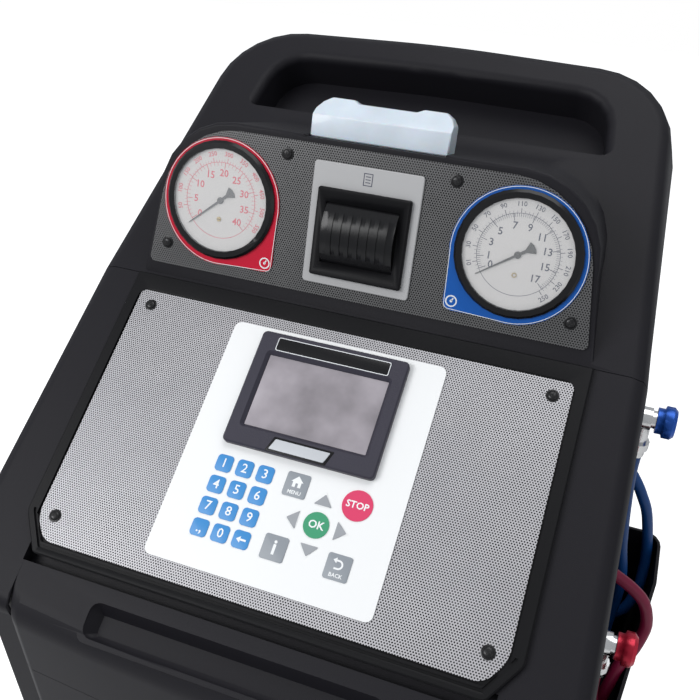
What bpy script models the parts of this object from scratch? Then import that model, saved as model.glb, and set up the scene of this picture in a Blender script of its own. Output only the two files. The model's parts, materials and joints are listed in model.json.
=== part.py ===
"""Air-conditioning service station: a wheeled cabinet with a sloping console.

Metres, +Z up, +X to the viewer's right, front facing -Y. The origin is on the floor, under
the middle of the machine. Three local planes carry the panels, all of them set out from the
seam between the two top casings: seam_datum is level, console_plane follows the console slope
and gauge_plane follows the steep gauge face a little behind the seam. In the two sloping planes
x runs to the right, y runs up the slope and z stands out of it.
"""

import math

import bmesh
import bpy
from mathutils import Matrix, Vector

# Fits
GAP = 0.0003
RUNNING = 0.0005
CUT_PAST = 0.020
CUT_FAR = 0.60

# Overall layout
HALF_DEPTH = 0.301
NOSE_REACH = 0.277
SEAM_HEIGHT = 0.900
SEAM_Y = NOSE_REACH - HALF_DEPTH
CONSOLE_TILT = math.radians(30)
GAUGE_TILT = math.radians(70.3)
GAUGE_SEAT = (0.0, 0.0040, -0.0027)
CASING_WALL = 0.004
PANEL_WALL = 0.003

# Top casing, measured on the console slope from the seam
LID_FACE = -0.0043
LID_DEPTH = 0.045
LID_EDGE = 0.015
LID_FRONT = -0.316
LID_TOP = 0.325
LID_ARCH = 0.0085
LID_HALF_FRONT = 0.263
LID_HALF_SEAM = 0.253
LID_HALF_TOP = 0.224
LID_FLARE_SEAM = 0.002
LID_FLARE_TOP = 0.007
LID_FRONT_ROUND = 0.030
LID_TOP_ROUND = 0.082
LID_ARCH_ROUND = 1.5
CASING_SEAM = 0.0006
SEAM_LINE = 0.0021

# Grip pocket behind the handle bar
GRIP_BOTTOM = 0.211
GRIP_TOP = 0.284
GRIP_HALF_BOTTOM = 0.176
GRIP_HALF_TOP = 0.167
GRIP_ROUND = 0.036
GRIP_DEPTH = 0.039
GRIP_FLARE = 0.009
GRIP_STEPS = 3
GRIP_CORNER = 0.004

# Gauge housing, measured on the gauge face from the seam
HUMP_FACE = -0.002
HUMP_HALF_BOTTOM = 0.2085
HUMP_HALF_TOP = 0.197
HUMP_SHOULDER = 0.070
SHOULDER_ROUND = 0.030
HUMP_TOP = 0.148
HUMP_ROUND = 0.070
HUMP_EDGE = 0.003
HUMP_DEPTH = 0.168

# Nose under the console
CHIN_HALF = 0.195
CHIN_BOW = 0.008
CHIN_CORNER = 0.012
CHIN_ROUND = 0.030
BROW_STEPS = 4
CHIN_MIDDLE = (-1.0, -0.6, -0.2, 0.2, 0.6, 1.0)
CHIN_ENDS = (40, 88)
CHIN_SPACE_BACK = 0.170
NOSE_SINK = 0.0001
CHIN_DROP = 0.235
CHIN_BACK = 0.200
TRAY_BOTTOM = -0.313
TRAY_TOP = -0.285
TRAY_HALF = 0.122
TRAY_DEPTH = 0.012
TRAY_ROUND = 0.008
TRAY_SLOPE = 0.008
TRAY_LIP = 0.002
TROUGH_TOP = -0.2575
TROUGH_BOTTOM = -0.2725
TROUGH_HALF = 0.196
TROUGH_DEPTH = 0.0125

# Console
OPENING_HALF = 0.165
OPENING_TOP = -0.034
OPENING_BOTTOM = -0.238
FRAME_HALF = 0.2090
FRAME_BOTTOM = -0.2655
FRAME_TOP = 0.0012
FRAME_CHAMFER = 0.031
FRAME_CORNER_SIDE = 0.021
FRAME_ROUND = 0.006
FRAME_FACE = 0.001
FRAME_LIP = 0.0055
FRAME_SKIRT = 0.0095
FRAME_EDGE = 0.0012
SKIRT_SINK = 0.002
GROOVE_IN = 0.0055
GROOVE_WIDTH = 0.0025
GROOVE_DEPTH = 0.0018
PLATE_THICK = 0.0015
PLATE_MARGIN = 0.0015
PLATE_HALF = 0.1975
PLATE_TOP = -0.016
PLATE_BOTTOM = -0.254
PLATE_CHAMFER = 0.019
PLATE_CORNER_SIDE = 0.0135
PLATE_ROUND = 0.008
PLATE_CORNER = 0.002
LEDGE = 0.010
MEMBRANE_HALF = 0.0963
MEMBRANE_TOP = -0.027
MEMBRANE_BOTTOM = -0.239
MEMBRANE_ROUND = 0.006
MEMBRANE_THICK = 0.0008
KEY_LIFT = 0.0004
KEY_SIDE = 0.0144
KEY_ROUND = 0.0034
KEY_PITCH = 0.0183
KEYPAD_LEFT = -0.0580
KEYPAD_TOP = -0.1529
ICON_SIDE = 0.0200
ICON_ROUND = 0.0022
MENU_CENTRE = (0.0067, -0.1544)
INFO_CENTRE = (0.0065, -0.2064)
BACK_CENTRE = (0.0595, -0.2068)
OK_CENTRE = (0.0327, -0.1806)
OK_RADIUS = 0.0105
STOP_CENTRE = (0.0594, -0.1572)
STOP_RADIUS = 0.0125
ARROW_REACH = 0.0213
ARROW_SIDE = 0.0115
DISPLAY_HALF = 0.0662
DISPLAY_TOP = -0.0320
DISPLAY_BOTTOM = -0.1355
DISPLAY_THICK = 0.0060
DISPLAY_ROUND = 0.004
DISPLAY_EDGE = 0.0012
SCREEN_HALF = 0.0537
SCREEN_TOP = -0.0520
SCREEN_BOTTOM = -0.1174
SCREEN_STEP = 0.0030
SCREEN_SINK = 0.0030
SCREEN_CORNER = 0.001

# Gauge face
GAUGE_PLATE_HALF = 0.2014
GAUGE_PLATE_HALF_TOP = 0.1935
GAUGE_PLATE_SHOULDER = 0.068
GAUGE_PLATE_BOTTOM = 0.0135
GAUGE_PLATE_TOP = 0.1418
GAUGE_PLATE_ROUND = 0.062
GAUGE_PLATE_CORNER = 0.006
GAUGE_X = 0.1327
GAUGE_UP = 0.0800
DIAL_RADIUS = 0.0454
RING_RADIUS = 0.0522
CASE_RADIUS = 0.0490
CASE_DEPTH = 0.0420
STEM_RADIUS = 0.0065
STEM_LENGTH = 0.0120
RING_PROUD = 0.0036
DIAL_SINK = 0.0039
DIAL_THICK = 0.0006
LENS_THICK = 0.0010
LENS_SINK = 0.0003
CASE_WALL = 0.0020
RING_EDGE = 0.0022
DIAL_LEDGE = 0.0030
BADGE_RADIUS = 0.0563
BADGE_CORNER = 0.0545
BADGE_DROP = 0.0013
BADGE_THICK = 0.0008
BADGE_ROUND = 0.008
POINTER_LENGTH = 0.0378
POINTER_TAIL = 0.0150
POINTER_THICK = 0.0005
POINTER_HUB = 0.0030
POINTER_PIN = 0.0009
PIN_CLEARANCE = 0.0006
PIN_DEPTH = 0.0040
POINTER_LIFT = 0.0004
HUB_CLEARANCE = 0.0002
HUB_RIM = 0.0006
HUB_CROWN = 0.0009
NEEDLE_TIP = 0.0004
NEEDLE_WAIST = 0.0011
TAIL_WAIST = 0.0014
TAIL_HALF = 0.0052
TAIL_END_HALF = 0.0020
LOW_POINTER_REST = math.radians(-129.5)
HIGH_POINTER_REST = math.radians(-124.2)

# Ticket printer
SURROUND_HALF = 0.0482
SURROUND_BOTTOM = 0.0245
SURROUND_TOP = 0.1288
SURROUND_THICK = 0.0020
SURROUND_ROUND = 0.003
SURROUND_EDGE = 0.0006
PRINTER_HALF = 0.0412
PRINTER_BOTTOM = 0.0323
PRINTER_TOP = 0.1080
PRINTER_FLANGE = 0.0040
PRINTER_DEPTH = 0.0400
PRINTER_BODY_INSET = 0.0025
PRINTER_CORNER = 0.002
PRINTER_EDGE = 0.0012
WELL_HALF = 0.0325
WELL_BOTTOM = 0.0445
WELL_TOP = 0.0965
WELL_WALL = 0.0020
DOOR_BULGE = 0.0100
DOOR_SHEET = 0.0018
DOOR_RIBS = 7
RIB_HEIGHT = 0.0008
DOOR_STEPS = 6
ROLL_RADIUS = 0.0155
ROLL_LENGTH = 0.0570
ROLL_CORE = 0.0060
ROLL_STEPS = 20

# Status light
LIGHT_HALF = 0.0608
LIGHT_BOTTOM = 0.1462
LIGHT_TOP = 0.1795
LIGHT_LOBE = 0.0298
LIGHT_DIP = 0.0027
LIGHT_CHAMFER = 0.0100
LIGHT_SHOULDER = 0.0040
LIGHT_RIDGE = 0.1650
LIGHT_CREST = -0.0300
LIGHT_FRONT = -0.0120
LIGHT_BACK = -0.0360
LIGHT_EDGE = 0.0010

# Cabinet
BODY_HALF_FRONT = 0.2435
BODY_HALF_REAR = 0.222
FLANK_FRONT = HALF_DEPTH - 0.0345
BODY_REAR = 0.2110
FRONT_FLANGE = 0.048
REAR_FLANGE = 0.042
BASE_BOTTOM = 0.105
BASE_TOP = 0.150
BASE_CORNER = 0.004
BASE_STEPS = 3
REAR_COVER_HALF = 0.2215
REAR_COVER_TOP = 0.978
REAR_COVER_DEPTH = 0.0080
LOUVRES = 9
LOUVRE_HALF = 0.110
LOUVRE_HEIGHT = 0.0090
LOUVRE_PITCH = 0.0200
LOUVRE_BOTTOM = 0.275
SHELF_HEIGHT = 0.560
SHELF_THICK = 0.0020
SHELF_FLANGE = 0.020
SHELF_FRONT = 0.240
SHELF_REAR = 0.195

# Wheels
WHEEL_RADIUS = 0.125
WHEEL_WIDTH = 0.045
WHEEL_X = 0.2845
WHEEL_BORE = 0.0103
TYRE_SHOULDER = 0.010
RIM_RADIUS = 0.088
RIM_SINK = 0.016
HUB_RADIUS = 0.026
SPOKES = 5
WINDOW_OUTER = 0.076
WINDOW_INNER = 0.038
WINDOW_STEPS = 3
SPOKE_ANGLE = math.radians(28)
AXLE_RADIUS = 0.0100
AXLE_HALF = 0.3085
AXLE_PLACE = (0.0, HALF_DEPTH - WHEEL_RADIUS, WHEEL_RADIUS)
CAP_RADIUS = 0.0160
CAP_THICK = 0.0030
CASTER_X = 0.178
CASTER_Y = 0.205
CASTER_RADIUS = 0.0400
CASTER_WIDTH = 0.0300
CASTER_SHOULDER = 0.0045
CASTER_TRAIL = 0.0320
CASTER_PLATE = 0.0620
CASTER_PLATE_THICK = 0.0030
CASTER_RACE = 0.0040
CASTER_RACE_RADIUS = 0.0210
FORK_SHEET = 0.0030
FORK_WIDTH = 0.0380
CASTER_PIN = 0.0040
CASTER_PLATE_ROUND = 0.006
CASTER_STEPS = 24
CHEEK_NECK = 0.020
CHEEK_BACK = 0.026
CHEEK_FOOT = 0.010
CHEEK_ROUND = 0.006
CROWN_FRONT = 0.022

# Right side: hose bin, parking fittings and couplers
BIN_RIM = 0.632
BIN_FLOOR = 0.445
BIN_WALL = 0.0030
BIN_REACH = 0.3090
BIN_REACH_FRONT = 0.2770
BIN_REAR = 0.088
BIN_KINK = 0.020
BIN_FRONT = 0.226
BIN_ROUND = 0.018
BIN_FRONT_ROUND = 0.030
COUPLER_RADIUS = 0.0100
COUPLER_FLANGE_RADIUS = 0.0135
COUPLER_LENGTH = 0.0360
COUPLER_BARREL = 0.0080
COUPLER_STEP = 0.0035
COUPLER_FLANGE = 0.0110
PORT_RADIUS = 0.0065
PORT_REACH = 0.0270
PORT_DROP = 0.0265
FERRULE_LENGTH = 0.0160
NUT_OVERLAP = 0.0010
NUT_WIDE = 0.0090
NUT_NARROW = 0.0068
NUT_STEP = 0.0005
KNOB_NECK_RADIUS = 0.0115
KNOB_NECK = 0.0065
KNOB_RADIUS = 0.0145
KNOB_LENGTH = 0.0095
KNOB_FLUTES = 14
KNOB_FLUTE_DEPTH = 0.0010
KNOB_STEP = 0.0010
KNOB_EDGE = 0.0030
BLUE_COUPLER = (0.0431 + SEAM_Y, SEAM_HEIGHT - 0.0692)
RED_COUPLER = (-0.0959 + SEAM_Y, SEAM_HEIGHT - 0.2011)
BLUE_OUTLET = (0.1000 + SEAM_Y, SEAM_HEIGHT - 0.1750)
RED_OUTLET = (-0.0300 + SEAM_Y, SEAM_HEIGHT - 0.1880)
OUTLET_LENGTH = 0.0140
OUTLET_RADIUS = 0.0065
OUTLET_NUT_RADIUS = 0.0095
OUTLET_NUT = 0.0080

# Hoses
HOSE_RADIUS = 0.0055
COIL_PITCH = 0.0112
COIL_ACROSS = 2
COIL_LAYERS = 3
COIL_INNER_TURN = 0.0430
COIL_SIDE = 0.2447
BLUE_COIL_Y = 0.0100
RED_COIL_Y = -0.1390
HOSE_POINT_STEP = 0.020
COIL_INNER = COIL_INNER_TURN - HOSE_RADIUS
COIL_OUTER = COIL_INNER + COIL_LAYERS * COIL_PITCH
COIL_Z = BIN_FLOOR + BIN_WALL + GAP + COIL_OUTER
STRAND_X = COIL_SIDE + COIL_ACROSS * COIL_PITCH + HOSE_RADIUS + GAP
BLUE_RISE = (
    (0.2585, 0.0191, 0.7700),
    (0.2610, 0.0191, 0.7350),
    (0.2680, 0.0191, 0.6723),
    (0.2748, 0.0185, 0.6356),
    (0.2765, 0.0160, 0.6100),
    (0.2745, 0.0090, 0.5830),
    (STRAND_X, 0.0010, 0.5600),
    (STRAND_X, -0.0060, 0.5400),
)
BLUE_DROP = (
    (0.2560, 0.0755, 0.7240),
    (0.2699, 0.0720, 0.7090),
    (0.2794, 0.0700, 0.6922),
    (0.2857, 0.0700, 0.6775),
    (0.2915, 0.0700, 0.6536),
    (0.2958, 0.0690, 0.6290),
    (0.2980, 0.0620, 0.6080),
    (0.2970, 0.0500, 0.5860),
    (0.2890, 0.0370, 0.5640),
    (0.2755, 0.0290, 0.5460),
    (STRAND_X, 0.0230, 0.5350),
)
RED_RISE = (
    (0.2648, -0.1199, 0.6430),
    (0.2665, -0.1205, 0.6250),
    (0.2725, -0.1250, 0.6040),
    (0.2737, -0.1300, 0.5880),
    (STRAND_X, -0.1380, 0.5600),
    (STRAND_X, -0.1430, 0.5400),
)
RED_DROP = (
    (0.2575, -0.0540, 0.7120),
    (0.2664, -0.0545, 0.7080),
    (0.2803, -0.0552, 0.6995),
    (0.2929, -0.0562, 0.6870),
    (0.3002, -0.0582, 0.6620),
    (0.2980, -0.0650, 0.6490),
    (0.2935, -0.0740, 0.6405),
    (0.2855, -0.0860, 0.6320),
    (0.2800, -0.0980, 0.6160),
    (0.2755, -0.1060, 0.5950),
    (0.2748, -0.1100, 0.5750),
    (STRAND_X, -0.1120, 0.5450),
)

# Inside
TANK_RADIUS = 0.115
TANK_HEIGHT = 0.350
TANK_Y = -0.060
TANK_NECK = 0.018
TANK_NECK_HEIGHT = 0.030
TANK_CROWN = 0.069
TANK_CROWN_DROP = 0.012
TANK_SHOULDER = 0.070
TANK_KNUCKLE = 0.050
TANK_FOOT = 0.092
TANK_FOOT_HEIGHT = 0.020
SCALE_HALF = 0.125
SCALE_THICK = 0.010
SCALE_CELL_HALF = 0.030
SCALE_CELL_HEIGHT = 0.012
CONDENSER_HALF = 0.140
CONDENSER_THICK = 0.030
CONDENSER_LOW = 0.145
CONDENSER_HEIGHT = 0.300
CONDENSER_ROWS = 9
CONDENSER_Y = 0.165
CONDENSER_RIM = 0.015
CONDENSER_ROW_DEPTH = 0.008
AXLE_CLEARANCE = 0.002
FAN_Z = 0.295
FAN_RADIUS = 0.088
FAN_BLADES = 5
FAN_HUB = 0.022
FAN_HUB_DEPTH = 0.009
FAN_CLEARANCE = 0.004
BLADE_SINK = 0.003
BLADE_ROOT = 0.006
BLADE_SPREAD = 0.16
BLADE_LOW = 0.0008
BLADE_HIGH = 0.0064
BLADE_SHEET = 0.0014
SHROUD_HALF = 0.100
SHROUD_THICK = 0.012
COMPRESSOR_RADIUS = 0.072
COMPRESSOR_HEIGHT = 0.165
COMPRESSOR_X = -0.105
COMPRESSOR_Y = -0.020
COMPRESSOR_CROWN = 0.043
COMPRESSOR_CROWN_DROP = 0.010
COMPRESSOR_SHOULDER = 0.050
COMPRESSOR_KNUCKLE = 0.020
COMPRESSOR_NECK = 0.058
COMPRESSOR_FOOT = 0.079
COMPRESSOR_PLATE = 0.008
PUMP_X = 0.095
PUMP_RADIUS = 0.052
PUMP_LENGTH = 0.150
PUMP_FOOT = 0.012
PUMP_Y = 0.055
PUMP_EDGE = 0.010
PUMP_CASE_HALF = 0.045
PUMP_CASE_DEPTH = 0.087
PUMP_CASE_RISE = 0.040
PUMP_FOOT_HALF = 0.040
DRIER_RADIUS = 0.036
DRIER_HEIGHT = 0.170
DRIER_Y = 0.140
DRIER_X = -0.040
DRIER_PORT = 0.008
DRIER_PORT_HEIGHT = 0.020
DRIER_KNUCKLE = 0.012
BOARD_HALF_X = 0.120
BOARD_HALF_Y = 0.060
BOARD_THICK = 0.0016
BOARD_DROP = 0.024
BOARD_POST = 0.004
BOARD_CHIPS = (
    (-0.070, 0.020, 0.020, 0.008),
    (0.000, -0.015, 0.026, 0.006),
    (0.065, 0.015, 0.018, 0.012),
)
MANIFOLD_HALF = 0.150
MANIFOLD_HEIGHT = 0.024
MANIFOLD_THICK = 0.022
VALVES = 4
VALVE_PITCH = 0.050
VALVE_RADIUS = 0.010
VALVE_LENGTH = 0.020

# Mains inlet on the back
INLET_X = 0.140
INLET_Z = 0.500
INLET_HALF_X = 0.036
INLET_HALF_Z = 0.017
INLET_DEPTH = 0.030
INLET_FLANGE = 0.004
ROCKER_X = 0.020
ROCKER_HALF_X = 0.0095
ROCKER_HALF_Z = 0.0125
ROCKER_THICK = 0.0060
ROCKER_TILT = math.radians(7)
ROCKER_CLEARANCE = 0.0012
ROCKER_WELL = 0.012
ROCKER_KEEL = 0.0015
SOCKET_X = -0.013
SOCKET_HALF_X = 0.0130
SOCKET_HALF_Z = 0.0100
SOCKET_DEPTH = 0.016
SOCKET_PINS = ((-0.007, -0.002), (0.0, 0.003), (0.007, -0.002))
PIN_HALF = 0.001
PIN_SINK = 0.003

ROUND_STEPS = 4
LARGE_ROUND = 0.050
LARGE_STEPS = 6
TURN_STEPS = 28
RING_STEPS = 32
SMALL_STEPS = 16
FINE_STEPS = 12
SMOOTH_ANGLE = math.radians(35)
ACROSS = (0.0, math.pi / 2, 0.0)
BACKWARDS = (math.pi / 2, 0.0, 0.0)


# Building blocks


def clear_scene():
    for item in list(bpy.data.objects):
        bpy.data.objects.remove(item, do_unlink=True)


def finish(name, colour, roughness, metallic=0.0):
    """A plain Principled material."""
    material = bpy.data.materials.get(name) or bpy.data.materials.new(name)
    material.use_nodes = True
    shader = material.node_tree.nodes["Principled BSDF"]
    shader.inputs["Base Color"].default_value = (*colour, 1.0)
    shader.inputs["Roughness"].default_value = roughness
    shader.inputs["Metallic"].default_value = metallic
    material.diffuse_color = (*colour, 1.0)
    return material


def datum(name, location, tilt=0.0):
    empty = bpy.data.objects.new(name, None)
    empty.location = location
    empty.rotation_euler = (tilt, 0.0, 0.0)
    bpy.context.scene.collection.objects.link(empty)
    return empty


def add_object(name, mesh_data, material=None, parent=None, location=(0, 0, 0), turn=(0, 0, 0)):
    item = bpy.data.objects.new(name, mesh_data)
    item.location = location
    item.rotation_euler = turn
    if parent is not None:
        item.parent = parent
    if material is not None:
        item.data.materials.append(material)
    bpy.context.scene.collection.objects.link(item)
    return item


def solid(name, bm, material=None, parent=None, location=(0, 0, 0), turn=(0, 0, 0)):
    """Turns a bmesh into an object with outward faces and smooth round stretches."""
    bmesh.ops.remove_doubles(bm, verts=bm.verts, dist=1e-7)
    bmesh.ops.recalc_face_normals(bm, faces=bm.faces)
    mesh = bpy.data.meshes.new(name)
    bm.to_mesh(mesh)
    bm.free()
    mesh.shade_smooth()
    mesh.set_sharp_from_angle(angle=SMOOTH_ANGLE)
    return add_object(name, mesh, material, parent, location, turn)


def combine(target, tool, operation="DIFFERENCE"):
    """Cuts the tool from the target, or joins it to it, and hides the tool."""
    tool.hide_render = True
    tool.display_type = "WIRE"
    modifier = target.modifiers.new(f"{operation.title()} {tool.name}", "BOOLEAN")
    modifier.operation = operation
    modifier.solver = "EXACT"
    modifier.object = tool
    return target


def rounded(corners, small_steps=ROUND_STEPS):
    """Outline through corners (x, y, radius), given anticlockwise, with each corner as an arc."""
    outline = []
    for index, (x, y, radius) in enumerate(corners):
        here = Vector((x, y))
        before = (Vector(corners[index - 1][:2]) - here).normalized()
        after = (Vector(corners[(index + 1) % len(corners)][:2]) - here).normalized()
        if radius <= 0.0:
            outline.append(here)
            continue
        half = before.angle(after) / 2
        centre = here + (before + after).normalized() * radius / math.sin(half)
        start = here + before * radius / math.tan(half) - centre
        turn = math.pi - 2 * half
        bend = 1.0 if before.cross(after) < 0.0 else -1.0
        steps = LARGE_STEPS if radius > LARGE_ROUND else small_steps
        for step in range(steps + 1):
            angle = bend * turn * step / steps
            outline.append(centre + Matrix.Rotation(angle, 2) @ start)
    return outline


def inset(corners, by):
    """The same corners with every edge moved inwards; by is one distance or one for each edge."""
    count = len(corners)
    distances = by if isinstance(by, (list, tuple)) else [by] * count
    moved = []
    for index, (x, y, radius) in enumerate(corners):
        here = Vector((x, y))
        along_in = (here - Vector(corners[index - 1][:2])).normalized()
        along_out = (Vector(corners[(index + 1) % count][:2]) - here).normalized()
        normal_in = Vector((-along_in.y, along_in.x))
        normal_out = Vector((-along_out.y, along_out.x))
        near, far = distances[index - 1], distances[index]
        cross = normal_in.cross(normal_out)
        if abs(cross) < 1e-9:
            point = here + normal_in * near
        else:
            offset_x = (near * normal_out.y - far * normal_in.y) / cross
            offset_y = (far * normal_in.x - near * normal_out.x) / cross
            point = here + Vector((offset_x, offset_y))
        convex = along_in.cross(along_out) > 0.0
        shift = -min(near, far) if convex else min(near, far)
        new_radius = max(radius + shift, 0.0002) if radius > 0.0 else 0.0
        moved.append((point.x, point.y, new_radius))
    return moved


def loft(bm, sections, closed=False):
    """Skins a row of outlines with equal numbers of points, and caps both ends."""
    rings = [[bm.verts.new(point) for point in section] for section in sections]
    pairs = list(zip(rings, rings[1:]))
    if closed:
        pairs.append((rings[-1], rings[0]))
    for lower, upper in pairs:
        for index in range(len(lower)):
            following = (index + 1) % len(lower)
            bm.faces.new((lower[index], lower[following], upper[following], upper[index]))
    if not closed:
        bm.faces.new(list(reversed(rings[0])))
        bm.faces.new(rings[-1])
    return bm


def level(outline, height):
    return [Vector((point[0], point[1], height)) for point in outline]


def prism(bm, outline, low, high):
    """An upright prism of a flat outline."""
    return loft(bm, [level(outline, low), level(outline, high)])


def slab(corners, low, high, edge, steps=2, foot=None):
    """A plate of rounded outline whose upper edge is rounded over. Its sides may spread to a foot."""
    sections = [level(rounded(foot or corners), low), level(rounded(corners), high - edge)]
    for step in range(1, steps + 1):
        angle = math.pi / 2 * step / steps
        shrunk = inset(corners, edge * (1 - math.cos(angle)))
        sections.append(level(rounded(shrunk), high - edge * (1 - math.sin(angle))))
    return loft(bmesh.new(), sections)


def box(bm, low, high):
    centre = (Vector(low) + Vector(high)) / 2
    size = Vector(high) - Vector(low)
    placing = Matrix.Translation(centre) @ Matrix.Diagonal((*size, 1.0))
    bmesh.ops.create_cube(bm, size=1.0, matrix=placing)
    return bm


def block(low, high):
    return box(bmesh.new(), low, high)


def turned(profile, steps=TURN_STEPS):
    """Turns a profile of (radius, height) points, top to bottom, round the Z axis."""
    bm = bmesh.new()
    verts = [bm.verts.new((radius, 0.0, height)) for radius, height in profile]
    edges = [bm.edges.new(pair) for pair in zip(verts, verts[1:])]
    if profile[0][0] > 0.0 or profile[-1][0] > 0.0:
        edges.append(bm.edges.new((verts[-1], verts[0])))
    bmesh.ops.spin(
        bm, geom=verts + edges, cent=(0, 0, 0), axis=(0, 0, 1),
        angle=math.tau, steps=steps, use_merge=True, use_duplicate=False,
    )
    bmesh.ops.remove_doubles(bm, verts=bm.verts, dist=1e-6)
    return bm


def disc(radius, steps=TURN_STEPS):
    return [
        Vector((radius * math.cos(math.tau * i / steps), radius * math.sin(math.tau * i / steps)))
        for i in range(steps)
    ]


def rectangle(half_x, bottom, top, radius=0.0):
    return [
        (-half_x, bottom, radius),
        (half_x, bottom, radius),
        (half_x, top, radius),
        (-half_x, top, radius),
    ]


def tool(name, bm, parent=None, location=(0, 0, 0), turn=(0, 0, 0)):
    return solid(name, bm, None, parent, location, turn)


# Finishes


def casing_finish():
    return finish("casing_black", (0.024, 0.023, 0.028), 0.62)


def frame_finish():
    return finish("console_charcoal", (0.034, 0.034, 0.038), 0.55)


def perforated_finish():
    return finish("perforated_steel", (0.62, 0.62, 0.60), 0.38, 0.9)


def membrane_finish():
    return finish("membrane_white", (0.82, 0.84, 0.84), 0.32)


def bezel_finish():
    return finish("bezel_charcoal", (0.045, 0.045, 0.055), 0.48)


def screen_finish():
    return finish("screen_glass", (0.10, 0.11, 0.11), 0.08)


def surround_finish():
    return finish("surround_grey", (0.60, 0.61, 0.60), 0.45)


def gloss_finish():
    return finish("gloss_black", (0.012, 0.012, 0.014), 0.15)


def dial_finish():
    return finish("dial_white", (0.84, 0.85, 0.88), 0.5)


def glass_finish():
    return finish("clear_glass", (0.9, 0.92, 0.94), 0.03)


def red_finish():
    return finish("red_enamel", (0.50, 0.012, 0.045), 0.35)


def blue_finish():
    return finish("blue_enamel", (0.015, 0.13, 0.48), 0.35)


def light_finish():
    return finish("frosted_lens", (0.72, 0.82, 0.88), 0.3)


def steel_finish():
    return finish("zinc_steel", (0.55, 0.56, 0.57), 0.35, 1.0)


def painted_finish():
    return finish("painted_steel", (0.03, 0.03, 0.033), 0.5, 0.2)


def rubber_finish():
    return finish("tyre_rubber", (0.02, 0.02, 0.02), 0.85)


def hub_finish():
    return finish("hub_grey", (0.20, 0.20, 0.21), 0.5)


def brass_finish():
    return finish("brass", (0.60, 0.42, 0.16), 0.3, 1.0)


def copper_finish():
    return finish("copper", (0.60, 0.30, 0.18), 0.35, 1.0)


def tank_finish():
    return finish("tank_blue", (0.10, 0.22, 0.40), 0.4)


def board_finish():
    return finish("board_green", (0.02, 0.16, 0.06), 0.5)


def fin_finish():
    return finish("aluminium_fin", (0.66, 0.67, 0.68), 0.42, 0.9)


def paper_finish():
    return finish("paper", (0.88, 0.88, 0.86), 0.9)


# Top casing


def lid_corners(flare=0.0):
    """Outline of both top casings together, on the console slope; a flare of 1 is the sides' foot."""
    shoulder = LID_TOP - LID_ARCH
    half_seam = LID_HALF_SEAM + flare * LID_FLARE_SEAM
    half_top = LID_HALF_TOP + flare * LID_FLARE_TOP
    return [
        (-LID_HALF_FRONT, LID_FRONT, LID_FRONT_ROUND),
        (LID_HALF_FRONT, LID_FRONT, LID_FRONT_ROUND),
        (half_seam, 0.0, 0.0),
        (half_top, shoulder, LID_TOP_ROUND),
        (0.0, LID_TOP, LID_ARCH_ROUND),
        (-half_top, shoulder, LID_TOP_ROUND),
        (-half_seam, 0.0, 0.0),
    ]


def lid_shell(name, console_plane):
    """The hollow sloping cover, open underneath."""
    foot = lid_corners(1.0)
    outer = slab(lid_corners(), LID_FACE - LID_DEPTH, LID_FACE, LID_EDGE, foot=foot)
    cover = solid(name, outer, casing_finish(), console_plane)
    return cover


def lid_hollow(name, console_plane):
    corners = inset(lid_corners(), CASING_WALL)
    low = LID_FACE - LID_DEPTH - 2 * CASING_WALL
    foot = inset(lid_corners(1.0), CASING_WALL)
    hollow = slab(corners, low, LID_FACE - CASING_WALL, LID_EDGE - CASING_WALL, foot=foot)
    return tool(name, hollow, console_plane)


def hump_corners():
    return [
        (-HUMP_HALF_BOTTOM, -CASING_WALL, 0.0),
        (HUMP_HALF_BOTTOM, -CASING_WALL, 0.0),
        (HUMP_HALF_TOP, HUMP_SHOULDER, SHOULDER_ROUND),
        (HUMP_HALF_TOP, HUMP_TOP, HUMP_ROUND),
        (-HUMP_HALF_TOP, HUMP_TOP, HUMP_ROUND),
        (-HUMP_HALF_TOP, HUMP_SHOULDER, SHOULDER_ROUND),
    ]


def grip_corners():
    return [
        (-GRIP_HALF_BOTTOM, GRIP_BOTTOM, GRIP_CORNER),
        (GRIP_HALF_BOTTOM, GRIP_BOTTOM, GRIP_CORNER),
        (GRIP_HALF_TOP, GRIP_TOP - LID_ARCH / 2, GRIP_ROUND),
        (0.0, GRIP_TOP, LID_ARCH_ROUND),
        (-GRIP_HALF_TOP, GRIP_TOP - LID_ARCH / 2, GRIP_ROUND),
    ]


def grip_pocket(name, console_plane):
    """The pocket's space: straight walls, with a soft flare on the bar and the two ends."""
    corners = grip_corners()
    floor = LID_FACE - GRIP_DEPTH
    sections = [level(rounded(corners), floor), level(rounded(corners), LID_FACE - GRIP_FLARE)]
    for step in range(1, GRIP_STEPS + 1):
        angle = math.pi / 2 * step / GRIP_STEPS
        out = -GRIP_FLARE * (1 - math.cos(angle))
        height = LID_FACE - GRIP_FLARE * (1 - math.sin(angle))
        flared = inset(corners, [0.0, out, out, out, out])
        sections.append(level(rounded(flared), height))
    sections.append([point + Vector((0, 0, GRIP_FLARE)) for point in sections[-1]])
    return tool(name, loft(bmesh.new(), sections), console_plane)


def grip_shell(name, console_plane):
    corners = inset(grip_corners(), -CASING_WALL)
    low = LID_FACE - GRIP_DEPTH - CASING_WALL
    body = prism(bmesh.new(), rounded(corners), low, LID_FACE - CASING_WALL / 2)
    return tool(name, body, console_plane)


def light_outline():
    """Front view of the status light: chamfered ends and two lobes with a lower middle."""
    dip = LIGHT_TOP - LIGHT_DIP
    lobe = LIGHT_HALF - LIGHT_LOBE
    right = [
        (LIGHT_HALF, LIGHT_BOTTOM),
        (LIGHT_HALF, LIGHT_TOP - LIGHT_CHAMFER),
        (LIGHT_HALF - LIGHT_SHOULDER, LIGHT_TOP - LIGHT_SHOULDER),
        (LIGHT_HALF - LIGHT_CHAMFER, LIGHT_TOP),
        (lobe, LIGHT_TOP),
        (lobe - 2 * LIGHT_DIP, dip),
    ]
    left = [(-x, y) for x, y in reversed(right)]
    return [Vector(point) for point in right + left]


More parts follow.
